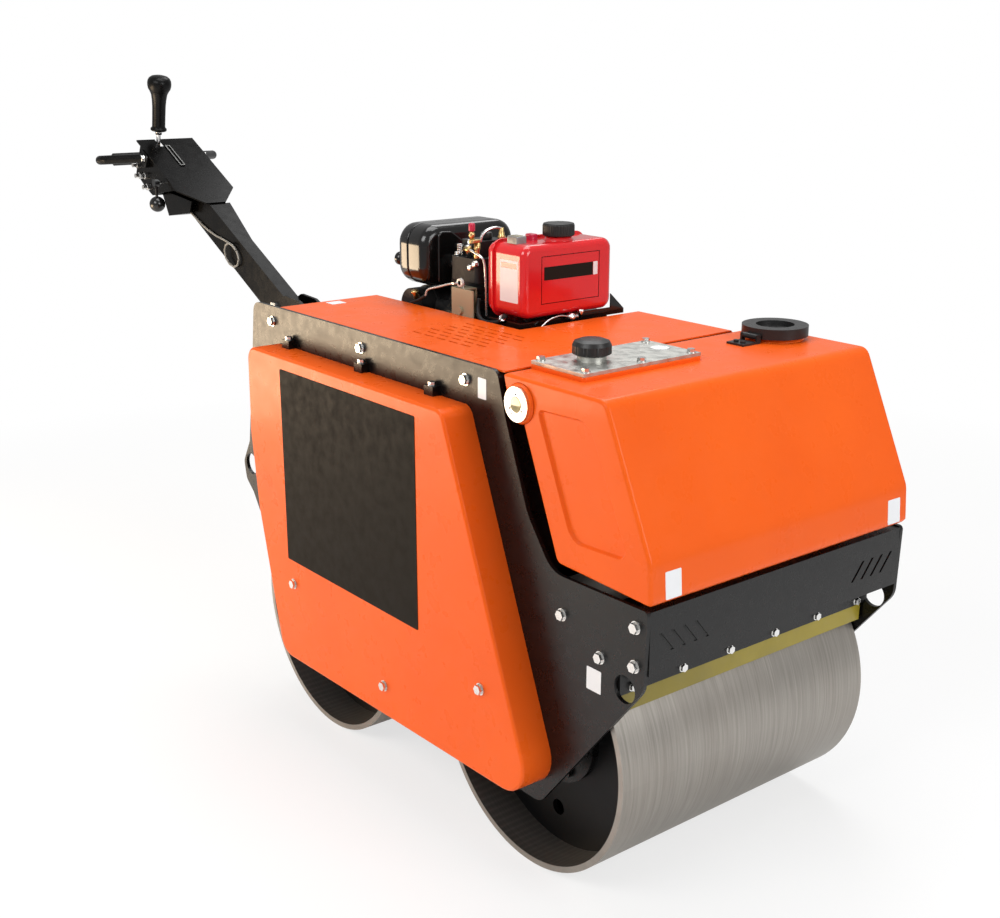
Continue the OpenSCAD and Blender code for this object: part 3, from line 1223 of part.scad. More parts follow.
module head_plate() color(black) machine() arm_frame() {
    z0 = arm_h / 2;
    difference() {
        prism_z(z0, z0 + plate_top_t) polygon([
            [-arm_reach, -head_w / 2], [-arm_reach, head_w / 2], [-head_u - head_taper, head_w / 2],
            [-head_u, head_front_w / 2], [-head_u, -head_front_w / 2], [-head_u - head_taper, -head_w / 2]
        ]);
        block(-arm_reach - cut, -arm_reach + notch_l, notch_y - notch_w / 2, notch_y + notch_w / 2,
            z0 - cut, z0 + plate_top_t + cut);
    }
    // Raised guide frame beside the lever
    difference() {
        prism_z(z0 + plate_top_t, z0 + plate_top_t + strip_h)
            outline(box_outline(strip_x, strip_x + strip_l, strip_y, strip_y + strip_w, sheet_t));
        prism_z(z0 + plate_top_t - cut / 2, z0 + plate_top_t + 2 * strip_h) outline(box_outline(
            strip_x + sheet_t, strip_x + strip_l - sheet_t, strip_y + sheet_t,
            strip_y + strip_w - sheet_t, sheet_t / 2));
    }
}
strip_x = -arm_reach + notch_l;
strip_l = 110;
strip_w = 15;
strip_h = 3;
strip_y = notch_y + notch_w / 2;
housing_wall = 4;
// Side outline, shares of the arm's reach and of the head's depth
side_shares = [
    [0.985, 0.363], [0.985, -0.450], [0.910, -0.500], [0.834, -0.480], [0.760, -0.100], [0.660, 0.363]
];
pan_shares = [
    [0.977, -0.200], [0.985, -0.200], [0.985, -0.450], [0.910, -0.500], [0.834, -0.480],
    [0.834, -0.448], [0.910, -0.468], [0.977, -0.418]
];
box_shares = [
    [0.860, -0.475], [0.855, -0.560], [0.783, -0.868], [0.640, -0.200], [0.638, 0.120], [0.780, -0.250]
];
floor_box_shares = [
    [0.855, -0.560], [0.783, -0.868], [0.690, -0.434], [0.690, -0.401], [0.783, -0.835], [0.850, -0.560]
];
function on_head(p) = [-p[0] * arm_reach, p[1] * head_drop];
module head_housing() color(black) machine() arm_frame() {
    side = head_w / 2 - 2 * housing_wall;
    for (y = [-side, side - housing_wall])
        prism_y(y, y + housing_wall) polygon([for (p = side_shares) on_head(p)]);
    // Bottom and rear plates between the two sides
    prism_y(-side + cut, side - cut) polygon([for (p = pan_shares) on_head(p)]);
    // Narrow box round the arm's end
    both_sides() prism_y(-arm_w, -arm_w + housing_wall) polygon([for (p = box_shares) on_head(p)]);
    prism_y(-arm_w + cut, arm_w - cut) polygon([for (p = floor_box_shares) on_head(p)]);
}

// A tube swept along a route: rings of points joined by faces
function route_dir(p, i) = unit(p[min(i + 1, len(p) - 1)] - p[max(i - 1, 0)]);
function route_ring(p, i, r, sides, side) =
    let (d = route_dir(p, i), a = unit(cross(d, side)), b = cross(d, a))
    [for (k = [0 : sides - 1]) p[i] + (a * cos(360 * k / sides) + b * sin(360 * k / sides)) * r];
module swept(p, r, sides, side) {
    n = len(p);
    polyhedron(points = [for (i = [0 : n - 1]) each route_ring(p, i, r, sides, side)], faces = concat(
        [[for (k = [0 : sides - 1]) k]],
        [for (i = [0 : n - 2], k = [0 : sides - 1]) [
            i * sides + k, (i + 1) * sides + k, (i + 1) * sides + (k + 1) % sides,
            i * sides + (k + 1) % sides
        ]],
        [[for (k = [sides - 1 : -1 : 0]) (n - 1) * sides + k]]
    ));
}
// A route with its corners rounded to one radius
function bend(a, b, c, r, n) =
    let (u = unit(a - b), v = unit(c - b), half = acos(u * v) / 2, centre = b + unit(u + v) * r / sin(half))
    let (s = b + u * r / tan(half) - centre, e = b + v * r / tan(half) - centre, turn = 180 - 2 * half)
    [for (i = [0 : n]) centre + (s * sin(turn * (1 - i / n)) + e * sin(turn * i / n)) / sin(turn)];
function bent_route(p, r, n) = concat([p[0]],
    [for (i = [1 : len(p) - 2]) each bend(p[i - 1], p[i], p[i + 1], r, n)], [p[len(p) - 1]]);

// Loop handle: one bent tube with a rubber grip on its rear bar
loop_root_u = arm_reach - 67;
loop_root_z = arm_h / 2 - loop_d / 2 - end_play;
loop_bend = 30;
loop_corner = 21;
loop_grip_in = 67;
loop_sides = 20;
loop_steps = 7;
loop_side = [
    [-loop_root_u, -head_w / 2 - housing_wall / 2, loop_root_z],
    [-arm_reach - loop_back, -loop_w / 2 - loop_corner, -loop_drop]
];
function mirrored(p) = [for (i = [len(p) - 1 : -1 : 0]) [p[i].x, -p[i].y, p[i].z]];
module loop_handle() color(rubber_black) machine() arm_frame() {
    swept(bent_route(concat(loop_side, mirrored(loop_side)), loop_bend, loop_steps), loop_d / 2,
        loop_sides, [0, 0, 1]);
    rod_y(-arm_reach - loop_back, -loop_drop, grip_d / 2, -loop_w / 2 + loop_grip_in,
        loop_w / 2 - loop_grip_in);
    both_sides() block(-loop_root_u - loop_d * 0.75, -loop_root_u + loop_d * 0.75,
        -head_w / 2 - housing_wall, -head_w / 2 + 2 * housing_wall, loop_root_z - loop_d * 0.75, arm_h / 2);
}

// Travel lever: a chrome rod on a cross pivot, with a rubber grip
lever_pivot_u = arm_reach - 28;
lever_pivot_z = -8;
lever_lean = 16;
lever_r = 6;
lever_boss_r = 14;
lever_rod_l = 125;
module lever_frame() translate([-lever_pivot_u, notch_y, lever_pivot_z])
    rotate([0, -lever_lean, 0]) children();
module travel_lever() color(zinc) machine() arm_frame() lever_frame() difference() {
    union() {
        cylinder(r = lever_r, h = lever_rod_l);
        rod_y(0, 0, lever_boss_r, -lever_boss_r, lever_boss_r);
    }
    rod_y(0, 0, lever_r + shaft_gap, -2 * lever_boss_r, 2 * lever_boss_r);
}
grip_shares = [
    [0.68, 0.00], [0.68, 0.045], [0.57, 0.055], [0.56, 0.30], [0.60, 0.55], [0.70, 0.70],
    [0.95, 0.78], [1.00, 0.87], [0.90, 0.95], [0.55, 1.00]
];
grip_head_r = 34;
grip_base = 90;
module lever_grip() color(rubber_black) machine() arm_frame() lever_frame() difference() {
    translate([0, 0, grip_base]) rotate_extrude() polygon(concat([[0, 0]],
        [for (p = grip_shares) [p[0] * grip_head_r, p[1] * lever_grip_l]], [[0, lever_grip_l]]));
    cylinder(r = lever_r, h = lever_rod_l);
}

// Ball lever beside the head, for the vibration
ball_r = 22;
ball_hub_r = 11;
ball_hub_w = 14;
ball_u = arm_reach - 182;
ball_pivot_z = 18;
ball_y = -head_w / 2 - 16;
ball_l = 60;
module ball_lever() color(rubber_black) machine() arm_frame()
    translate([-ball_u, ball_y, ball_pivot_z]) {
        rod_y(0, 0, ball_hub_r, -ball_hub_w / 2, ball_hub_w / 2);
        rotate([0, 180 - arm_slope, 0]) {
            cylinder(r = small_bolt_r, h = ball_l);
            translate([0, 0, ball_l]) sphere(r = ball_r);
        }
    }

// Silver fittings on the left of the head, with the lever pivots
fit_r = 10;
fitting_places = [[24, -20], [50, -40], [82, -22], [106, -44]];
module valve_fittings() color(zinc) machine() arm_frame() {
    y0 = -head_w / 2 + 2 * housing_wall;
    for (p = fitting_places) translate([-arm_reach + p[0], y0, p[1]]) rotate([90, 0, 0]) {
        cylinder(r = fit_r, h = fit_r, $fn = 6);
        cylinder(r = fit_r * 0.65, h = fit_r * 2.2);
    }
    rod_y(-ball_u, ball_pivot_z, small_bolt_r, ball_y + ball_hub_w / 2, y0);
    // Pivot pin and ears of the travel lever
    rod_y(-lever_pivot_u, lever_pivot_z, lever_r, notch_y - 2 * lever_boss_r, notch_y + 2 * lever_boss_r);
    for (s = [-1, 1]) block(-lever_pivot_u - lever_boss_r, -lever_pivot_u + lever_boss_r,
        notch_y + s * 1.7 * lever_boss_r - sheet_t, notch_y + s * 1.7 * lever_boss_r + sheet_t,
        lever_pivot_z - lever_boss_r, arm_h / 2);
}

// Control cable that loops once on the arm's left face
cable_d = 6;
cable_lane = -arm_w / 2 - cable_d / 2 - fit_gap;
cable_sides = 8;
// Distance from the head's end, reach off the arm's face and height
cable_places = [
    [247, 0, -38], [282, 0, -36], [329, 0, -32], [372, 0, -25], [415, 0, -14], [455, 0, 0],
    [495, 0, 12], [522, 1, 17], [542, 2, 14], [558, 3, 3], [560, 4, -14], [546, 5, -30],
    [523, 6, -36], [500, 7, -31], [487, 8, -14], [488, 8, 4], [501, 8, 18], [520, 8, 24],
    [539, 7, 21]
];
cable_route = [for (p = cable_places) [-arm_reach + p[0], cable_lane - p[1], p[2]]];
module control_cable() color([0.35, 0.34, 0.32]) machine() arm_frame()
    swept(cable_route, cable_d / 2, cable_sides, [0, 1, 0]);

side_plate_left();
side_plate_right();
chassis_beams();
front_bumper();
rear_panel();
belt_cover();
cover_panel();
frame_bolts();
deck_cover();
front_tank();
tank_top_plate();
sight_glass_ring();
sight_glass_lens();
cap_strap();
scrapers();
grease_elbows();
bearing_housings();
drum_bearings();
drive_chain();
hydraulic_motor();
exciter_housing();
drive_belts();
hydraulic_pump();
rubber_buffers();
crankcase();
engine_cylinder();
blower_housing();
recoil_starter();
muffler();
air_filter();
fuel_tank();
speed_bracket();
handle_bracket();
front_drum();
front_axle();
front_sprocket();
rear_drum();
rear_axle();
rear_sprocket();
motor_sprocket();
exciter_shaft();
pump_pulley();
crankshaft();
engine_pulley();
water_cap();
breather_cap();
fuel_cap();
decompression_lever();
speed_lever();
recoil_handle();
handle_arm();
handle_pin();
head_plate();
head_housing();
loop_handle();
travel_lever();
lever_grip();
ball_lever();
valve_fittings();
control_cable();
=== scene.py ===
"""The looks of a walk behind vibratory roller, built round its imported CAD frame."""

import math

import bpy
from mathutils import Matrix, Vector

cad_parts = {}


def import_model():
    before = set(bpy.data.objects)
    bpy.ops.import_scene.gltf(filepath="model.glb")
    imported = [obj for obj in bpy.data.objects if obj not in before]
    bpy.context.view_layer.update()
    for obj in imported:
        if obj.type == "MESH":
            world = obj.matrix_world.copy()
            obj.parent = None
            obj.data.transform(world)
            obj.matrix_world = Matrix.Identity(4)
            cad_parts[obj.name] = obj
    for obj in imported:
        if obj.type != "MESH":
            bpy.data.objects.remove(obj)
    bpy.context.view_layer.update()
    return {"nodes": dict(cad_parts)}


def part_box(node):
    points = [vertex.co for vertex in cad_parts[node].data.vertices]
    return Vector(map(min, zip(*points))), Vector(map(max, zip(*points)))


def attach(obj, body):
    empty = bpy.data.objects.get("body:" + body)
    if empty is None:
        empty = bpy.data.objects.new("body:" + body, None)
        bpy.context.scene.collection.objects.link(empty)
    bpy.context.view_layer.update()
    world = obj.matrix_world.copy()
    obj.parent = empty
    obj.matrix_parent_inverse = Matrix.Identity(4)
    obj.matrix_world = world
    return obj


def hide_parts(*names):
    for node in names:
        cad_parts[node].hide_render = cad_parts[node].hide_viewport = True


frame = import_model()

# Machine frame: millimetres, x from the middle of the wheelbase, z from the drum axles.
# ORIGIN is its zero in the row frame, in metres.
MM = 0.001
ORIGIN = Vector((0.582711, 0.034, 0.2585))


def at(x, y, z):
    """A point of the machine frame in the row frame, in metres."""
    return Vector((x, y, z)) * MM + ORIGIN


def cad_corners(node):
    """The lowest and the highest corner of a CAD node, in the machine frame."""
    return [Vector([round(value, 2) for value in (corner - ORIGIN) / MM]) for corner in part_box(node)]


def cad_middle(node):
    """The middle of a CAD node's box, in the machine frame."""
    low, high = cad_corners(node)
    return (low + high) / 2


# What the skins follow: the deck's top, the outer faces of plate and belt cover, the handle's pin
DECK = cad_corners("deck_cover")[1].z
PLATE_OUT = cad_corners("side_plate_right")[1].y
COVER_FACE = -cad_corners("belt_cover")[0].y
ARM_PIVOT = cad_middle("handle_pin")
ARM_SLOPE = math.radians(27.5)
AXLE_X = 350  # from the middle to each drum's axle
NOSE = 661  # front end of the side plates, the unit of the outlines' lengths
FILLET = 30  # the unit of the outlines' corner radii

# Steps of a rounded corner and of a rounded edge, and the least corner radius left by an inset
ARC_STEPS = 8
EDGE_STEPS = 4
LEAST_RADIUS = 0.3

# Edges and thickness of printed film, and the thickness of small plates
FILM_EDGES = (0.1, 0.1)
FILM = 0.4
SIGN = 0.6


def on_arm(u, y, w):
    """A point u outward along the handle arm, y sideways and w above its middle."""
    turn = Matrix.Rotation(ARM_SLOPE, 3, "Y")
    return at(*(ARM_PIVOT + turn @ Vector((-u, y, w))))


# Node helpers


class Nodes:
    """A material's node tree, with short calls to add and join nodes."""

    def __init__(self, name):
        self.material = bpy.data.materials.new(name)
        self.material.use_nodes = True
        self.tree = self.material.node_tree
        self.shader = self.tree.nodes["Principled BSDF"]
        self.place = self.add("ShaderNodeTexCoord").outputs["Object"]

    def add(self, kind, **settings):
        node = self.tree.nodes.new(kind)
        for key, value in settings.items():
            setattr(node, key, value)
        return node

    def join(self, source, target):
        self.tree.links.new(source, target)

    def math(self, operation, first, second=None):
        node = self.add("ShaderNodeMath", operation=operation)
        for socket, value in zip(node.inputs, (first, second)):
            if value is None:
                continue
            if isinstance(value, (int, float)):
                socket.default_value = value
            else:
                self.join(value, socket)
        return node.outputs[0]

    def scaled(self, factors):
        """The object's coordinates, stretched along each axis."""
        node = self.add("ShaderNodeMapping")
        node.inputs["Scale"].default_value = factors
        self.join(self.place, node.inputs["Vector"])
        return node.outputs[0]

    def noise(self, scale, detail=3.0, rough=0.55, vector=None):
        node = self.add("ShaderNodeTexNoise")
        node.inputs["Scale"].default_value = scale
        node.inputs["Detail"].default_value = detail
        node.inputs["Roughness"].default_value = rough
        self.join(vector or self.place, node.inputs["Vector"])
        return node.outputs["Fac"]

    def ramp(self, value, low, high, low_value=0.0, high_value=1.0):
        """Maps low to low_value and high to high_value, evenly between them."""
        node = self.add("ShaderNodeMapRange")
        node.inputs["From Min"].default_value = low
        node.inputs["From Max"].default_value = high
        node.inputs["To Min"].default_value = low_value
        node.inputs["To Max"].default_value = high_value
        self.join(value, node.inputs["Value"])
        return node.outputs["Result"]

    def mix(self, factor, first, second):
        """First where the factor is none, second where it is one."""
        node = self.add("ShaderNodeMix", data_type="RGBA")
        self.join(factor, node.inputs["Factor"])
        for socket, value in ((node.inputs[6], first), (node.inputs[7], second)):
            if isinstance(value, tuple):
                socket.default_value = value + (1.0,)
            else:
                self.join(value, socket)
        return node.outputs[2]

    def length(self, first, second):
        """The length of a vector of two parts."""
        squares = [self.math("MULTIPLY", value, value) for value in (first, second)]
        return self.math("SQRT", self.math("ADD", *squares))

    def bump(self, height, strength, distance):
        node = self.add("ShaderNodeBump")
        node.inputs["Strength"].default_value = strength
        node.inputs["Distance"].default_value = distance
        self.join(height, node.inputs["Height"])
        self.join(node.outputs[0], self.shader.inputs["Normal"])

    def set(self, **values):
        """Constants on the shader's sockets, by their names."""
        for key, value in values.items():
            socket = self.shader.inputs[key.replace("_", " ")]
            if isinstance(value, tuple) and len(value) == 3:
                value = value + (1.0,)
            socket.default_value = value

    def colour(self, source):
        self.join(source, self.shader.inputs["Base Color"])

    def roughness(self, middle, spread, scale, detail=4.0, high=0.75):
        """Roughness that drifts between the two shares of its middle value."""
        drift = self.ramp(self.noise(scale, detail), 0.3, high, middle * spread[0], middle * spread[1])
        self.join(drift, self.shader.inputs["Roughness"])


def toned(colour, factor, lift=0.0):
    """The colour made lighter or darker by a factor and raised by lift."""
    return tuple(value * factor + lift for value in colour)


def painted(name, colour, shade, rough=0.3, coat=0.4, peel=0.05, dust=(0.45, 0.30, 0.18),
            dust_amount=0.02, gloss=0.3):
    """Sprayed paint: soft colour drift, orange peel, and a thin film of dust."""
    n = Nodes(name)
    drift = n.ramp(n.noise(scale=3.0, detail=2.0), 0.3, 0.7)
    film = n.ramp(n.noise(scale=14.0, detail=6.0, rough=0.65), 0.45, 0.85, 0.0, dust_amount)
    n.colour(n.mix(film, n.mix(drift, shade, colour), dust))
    n.roughness(rough, (0.8, 1.35), scale=22.0, high=0.8)
    n.bump(n.noise(scale=420.0, detail=2.0), peel, distance=0.0006)
    n.set(Coat_Weight=coat, Coat_Roughness=0.08, Specular_IOR_Level=gloss)
    return n.material


def textured_black(name, colour=(0.0042, 0.0040, 0.0040), rough=0.34, grain=0.15, coat=0.0, scale=900.0,
                   gloss=0.16):
    """Black powder coat: fine grain, faint scuffs and a dusty bloom."""
    n = Nodes(name)
    scuff = n.ramp(n.noise(scale=9.0, detail=8.0, rough=0.7), 0.6, 0.85, 0.0, 0.3)
    n.colour(n.mix(scuff, colour, toned(colour, 2.0, lift=0.004)))
    n.roughness(rough, (0.75, 1.3), scale=40.0, detail=5.0)
    n.bump(n.noise(scale, detail=2.0), grain, distance=0.0005)
    n.set(Coat_Weight=coat, Coat_Roughness=0.15, Specular_IOR_Level=gloss)
    return n.material


def bare_metal(name, colour, shade, rough=0.3, stretch=(1, 1, 1), grain=0.08, tarnish=0.5):
    """Plated or machined metal with tarnish patches and fine tool marks."""
    n = Nodes(name)
    patch = n.ramp(n.noise(scale=30.0, detail=5.0, rough=0.6), 0.35, 0.75, 0.0, tarnish)
    n.colour(n.mix(patch, colour, shade))
    n.roughness(rough, (0.7, 1.5), scale=60.0)
    marks = n.noise(scale=700.0, detail=3.0, rough=0.6, vector=n.scaled(stretch))
    n.bump(marks, grain, distance=0.0004)
    n.set(Metallic=1.0)
    return n.material


def moulded(name, colour, rough=0.45, grain=0.2, scale=1200.0, gloss=0.3):
    """Rubber or moulded plastic: fine grain with dull rubbed patches."""
    n = Nodes(name)
    rub = n.ramp(n.noise(scale=25.0, detail=5.0, rough=0.65), 0.5, 0.8, 0.0, 0.3)
    n.colour(n.mix(rub, colour, toned(colour, 2.5, lift=0.006)))
    n.roughness(rough, (0.8, 1.3), scale=80.0, detail=3.0)
    n.bump(n.noise(scale, detail=2.0), grain, distance=0.0004)
    n.set(Specular_IOR_Level=gloss)
    return n.material


def cast_metal(name, colour):
    """Sand cast aluminium: rough skin, oily dark patches that shine more."""
    n = Nodes(name)
    oil = n.ramp(n.noise(scale=11.0, detail=6.0, rough=0.7), 0.45, 0.75)
    n.colour(n.mix(oil, colour, toned(colour, 0.25)))
    n.join(n.ramp(oil, 0.0, 1.0, 0.55, 0.3), n.shader.inputs["Roughness"])
    n.bump(n.noise(scale=260.0, detail=4.0), 0.35, distance=0.0012)
    n.set(Metallic=0.8)
    return n.material


def drum_steel(name, centre):
    """Rolled steel outside with marks that run round the drum, black paint inside."""
    paint_end, steel_start = 0.2462, 0.2475
    n = Nodes(name)
    split = n.add("ShaderNodeSeparateXYZ")
    n.join(n.place, split.inputs[0])
    dx = n.math("SUBTRACT", split.outputs["X"], centre.x)
    dz = n.math("SUBTRACT", split.outputs["Z"], centre.z)
    turn = n.math("ARCTAN2", dz, dx)
    along, across = 0.5, 90.0
    ring = n.add("ShaderNodeCombineXYZ")
    n.join(n.math("MULTIPLY", n.math("SINE", turn), along), ring.inputs[0])
    n.join(n.math("MULTIPLY", n.math("COSINE", turn), along), ring.inputs[1])
    n.join(n.math("MULTIPLY", split.outputs["Y"], across), ring.inputs[2])
    streak = n.noise(scale=3.0, detail=8.0, rough=0.68, vector=ring.outputs[0])
    band = n.ramp(n.noise(scale=5.0, detail=3.0, rough=0.5), 0.4, 0.8, 0.0, 0.3)
    steel = n.mix(n.ramp(streak, 0.25, 0.75), (0.25, 0.23, 0.205), (0.42, 0.395, 0.36))
    steel = n.mix(band, steel, (0.27, 0.235, 0.20))
    outside = n.ramp(n.length(dx, dz), paint_end, steel_start)
    n.colour(n.mix(outside, (0.005, 0.005, 0.0055), steel))
    n.join(outside, n.shader.inputs["Metallic"])
    n.join(n.ramp(streak, 0.3, 0.8, 0.38, 0.5), n.shader.inputs["Roughness"])
    n.bump(streak, 0.10, distance=0.0006)
    n.set(Specular_IOR_Level=0.2)
    return n.material


def glass_like(name, colour):
    """A tinted pane with cloudy oil behind it."""
    n = Nodes(name)
    n.colour(n.mix(n.ramp(n.noise(scale=60.0), 0.3, 0.7), colour, toned(colour, 0.6)))
    n.set(Roughness=0.06, Coat_Weight=1.0, IOR=1.5)
    return n.material


ORANGE = painted("orange_paint", (0.84, 0.118, 0.010), (0.78, 0.100, 0.008), coat=0.08, peel=0.02,
                 gloss=0.12)
RED = painted("red_paint", (0.74, 0.012, 0.016), (0.60, 0.010, 0.014), rough=0.2, coat=0.7, peel=0.03)
LEVER_RED = painted("lever_paint", (0.55, 0.02, 0.06), (0.42, 0.015, 0.05), coat=0.3)
YELLOW_ZINC = painted("yellow_zinc", (0.36, 0.33, 0.22), (0.22, 0.19, 0.12), rough=0.34, coat=0.3,
                      peel=0.04)
STEEL_ROD = painted("plated_rod", (0.62, 0.61, 0.58), (0.46, 0.45, 0.42), rough=0.2, coat=0.6, peel=0.02)
OLIVE = painted("olive_paint", (0.30, 0.235, 0.022), (0.19, 0.15, 0.018), rough=0.4, coat=0.15, peel=0.1,
                dust=(0.12, 0.10, 0.05), dust_amount=0.3)
WHITE = painted("white_plate", (0.82, 0.83, 0.84), (0.76, 0.77, 0.79), rough=0.4, coat=0.1, peel=0.02,
                dust=(0.5, 0.5, 0.5), dust_amount=0.06)
BLACK = textured_black("black_powder_coat", rough=0.3, grain=0.5, scale=420.0, gloss=0.32)
GLOSS_BLACK = textured_black("black_enamel", (0.0025, 0.0023, 0.0022), rough=0.25, grain=0.05, coat=0.03,
                             gloss=0.06)
ENGINE_BLACK = textured_black("black_baked_enamel", (0.004, 0.0038, 0.0036), rough=0.16, grain=0.04,
                              coat=0.5, gloss=0.3)
# Black film whose brown tint is painted reflection of warm light on the glossy film
PANEL_BLACK = textured_black("panel_film", (0.017, 0.0145, 0.012), rough=0.5, grain=0.04, gloss=0.03)
ZINC = bare_metal("zinc_plate", (0.78, 0.78, 0.77), (0.52, 0.50, 0.47), rough=0.22)
CHROME = bare_metal("chrome_plate", (0.80, 0.80, 0.80), (0.62, 0.60, 0.57), rough=0.1, tarnish=0.25,
                    grain=0.02)
ALLOY = bare_metal("alloy_plate", (0.50, 0.50, 0.47), (0.42, 0.42, 0.39), rough=0.4, stretch=(1, 12, 1),
                   grain=0.06)
STEEL = bare_metal("machine_steel", (0.42, 0.41, 0.39), (0.20, 0.18, 0.15), rough=0.38)
BRASS = bare_metal("brass_fitting", (0.70, 0.50, 0.22), (0.42, 0.28, 0.12))
MATTE_METAL = bare_metal("dull_metal", (0.30, 0.30, 0.30), (0.12, 0.11, 0.10), rough=0.5)
DARK_CAST = cast_metal("dark_casting", (0.03, 0.03, 0.031))
RUBBER = moulded("rubber", (0.011, 0.011, 0.011), rough=0.5)
GRIP_BLACK = moulded("grip_rubber", (0.003, 0.003, 0.003), rough=0.3, grain=0.12, gloss=0.15)
PLASTIC = moulded("black_plastic", (0.016, 0.016, 0.016), rough=0.34, grain=0.1, scale=700.0)
GLOSS_PLASTIC = moulded("ball_plastic", (0.006, 0.006, 0.006), rough=0.12, grain=0.02, gloss=0.5)
GREY_CABLE = moulded("cable_sleeve", (0.23, 0.22, 0.20), rough=0.4)
SCALE_GREY = moulded("scale_print", (0.22, 0.22, 0.21), rough=0.5)
LENS = glass_like("sight_lens", (0.35, 0.27, 0.08))

# The material that each CAD node wears, but for the drums and the nodes that a skin replaces
NODE_MATERIALS = {
    BLACK: "side_plate_left side_plate_right chassis_beams front_bumper rear_panel grease_elbows "
           "bearing_housings exciter_housing front_axle rear_axle",
    GLOSS_BLACK: "handle_bracket handle_arm head_plate head_housing hydraulic_motor",
    ENGINE_BLACK: "blower_housing recoil_starter",
    ORANGE: "deck_cover",
    PANEL_BLACK: "cover_panel",
    ZINC: "frame_bolts handle_pin speed_lever sight_glass_ring valve_fittings",
    YELLOW_ZINC: "speed_bracket",
    CHROME: "travel_lever",
    ALLOY: "tank_top_plate hydraulic_pump",
    LENS: "sight_glass_lens",
    PLASTIC: "cap_strap water_cap breather_cap",
    GLOSS_PLASTIC: "ball_lever",
    OLIVE: "scrapers",
    STEEL: "drum_bearings drive_chain front_sprocket rear_sprocket motor_sprocket exciter_shaft "
           "pump_pulley crankshaft engine_pulley",
    DARK_CAST: "crankcase engine_cylinder",
    RUBBER: "drive_belts rubber_buffers recoil_handle air_filter",
    GRIP_BLACK: "loop_handle",
    GREY_CABLE: "control_cable",
}

# Width of the rounding on each node's sharp edges, and the angle from which an edge is sharp
BEVELS = {
    "side_plate_left": 1.2, "side_plate_right": 1.2, "front_bumper": 0.8, "rear_panel": 0.8,
    "frame_bolts": 0.6, "deck_cover": 0.8, "tank_top_plate": 0.8, "sight_glass_ring": 0.6,
    "scrapers": 0.8, "handle_bracket": 1.2, "handle_arm": 3.0, "head_plate": 0.8,
    "head_housing": 1.0, "water_cap": 2.5, "breather_cap": 0.8, "cap_strap": 0.8,
    "speed_bracket": 0.6, "valve_fittings": 0.8, "chassis_beams": 1.5, "front_drum": 1.2,
    "rear_drum": 1.2, "blower_housing": 3.0, "crankcase": 2.0, "engine_cylinder": 0.8,
    "recoil_starter": 2.0, "air_filter": 3.0, "handle_pin": 0.8, "cover_panel": 0.3,
}
SHARP_ANGLE = math.radians(35)


def dress_nodes():
    for material, names in NODE_MATERIALS.items():
        for name in names.split():
            set_material(frame["nodes"][name], material)
    for name, spot in (("front_drum", at(AXLE_X, 0, 0)), ("rear_drum", at(-AXLE_X, 0, 0))):
        set_material(frame["nodes"][name], drum_steel(name + "_steel", spot))
    for name, width in BEVELS.items():
        soften(frame["nodes"][name], width)


def set_material(obj, material):
    """The same material on every slot of an object."""
    if not obj.material_slots:
        obj.data.materials.append(material)
    for part in obj.material_slots:
        part.material = material


def soften(obj, width):
    """Rounds sharp edges, as press brakes and paint leave them."""
    bevel = obj.modifiers.new("soft_edges", "BEVEL")
    bevel.width = width * MM
    bevel.segments = 2
    bevel.limit_method = "ANGLE"
    bevel.angle_limit = SHARP_ANGLE
    bevel.harden_normals = False
    weighted = obj.modifiers.new("normals", "WEIGHTED_NORMAL")
    weighted.keep_sharp = True


# Mesh helpers


def rounded(points):
    """The outline of a polygon of (a, b, radius) with its corners rounded."""
    outline = []
    count = len(points)
    for i, (a, b, radius) in enumerate(points):
        corner = Vector((a, b))
        if radius <= 0:
            outline.extend([corner] * (ARC_STEPS + 1))
            continue
        u = (Vector(points[i - 1][:2]) - corner).normalized()
        v = (Vector(points[(i + 1) % count][:2]) - corner).normalized()
        half = u.angle(v) / 2
        centre = corner + (u + v).normalized() * radius / math.sin(half)
        start = corner + u * radius / math.tan(half) - centre
        end = corner + v * radius / math.tan(half) - centre
        sweep = math.pi - 2 * half
        for k in range(ARC_STEPS + 1):
            share = k / ARC_STEPS
            point = start * math.sin(sweep * (1 - share)) + end * math.sin(sweep * share)
            outline.append(centre + point / math.sin(sweep))
    return outline


def drawn_in(points, depth):
    """The polygon with every side moved in by depth, its radii following. Runs anticlockwise."""
    result = []
    count = len(points)
    for i, (a, b, radius) in enumerate(points):
        corner = Vector((a, b))
        back = (corner - Vector(points[i - 1][:2])).normalized()
        ahead = (Vector(points[(i + 1) % count][:2]) - corner).normalized()
        turn = back.x * ahead.y - back.y * ahead.x
        normals = Vector((-back.y, back.x)) + Vector((-ahead.y, ahead.x))
        moved = corner + normals * depth / (1 + back.dot(ahead))
        result.append((moved.x, moved.y, max(radius - depth * (1 if turn > 0 else -1), LEAST_RADIUS)))
    return result


def make(name, verts, faces, material, body):
    """A smooth shaded piece that rides on a body and has a slot."""
    mesh = bpy.data.meshes.new(name)
    mesh.from_pydata([tuple(v) for v in verts], [], faces)
    mesh.validate()
    mesh.materials.append(material)
    mesh.update()
    obj = bpy.data.objects.new(name, mesh)
    bpy.context.scene.collection.objects.link(obj)
    mesh.shade_smooth()
    normals = obj.modifiers.new("normals", "WEIGHTED_NORMAL")
    normals.keep_sharp = True
    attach(obj, body)
    return obj


def ring_faces(rings, size, closed_end=True):
    """Faces between rings of points, with a cap on the first ring and, if closed, on the last."""
    faces = []
    for r in range(rings - 1):
        for k in range(size):
            n = (k + 1) % size
            faces.append((r * size + k, r * size + n, (r + 1) * size + n, (r + 1) * size + k))
    faces.append(tuple(range(size - 1, -1, -1)))
    if closed_end:
        faces.append(tuple((rings - 1) * size + k for k in range(size)))
    return faces


# Where the outline's a and b and the place p along the axis go
AXES = {
    "x": lambda a, b, p: (p, a, b),
    "y": lambda a, b, p: (a, p, b),
    "z": lambda a, b, p: (a, b, p),
}


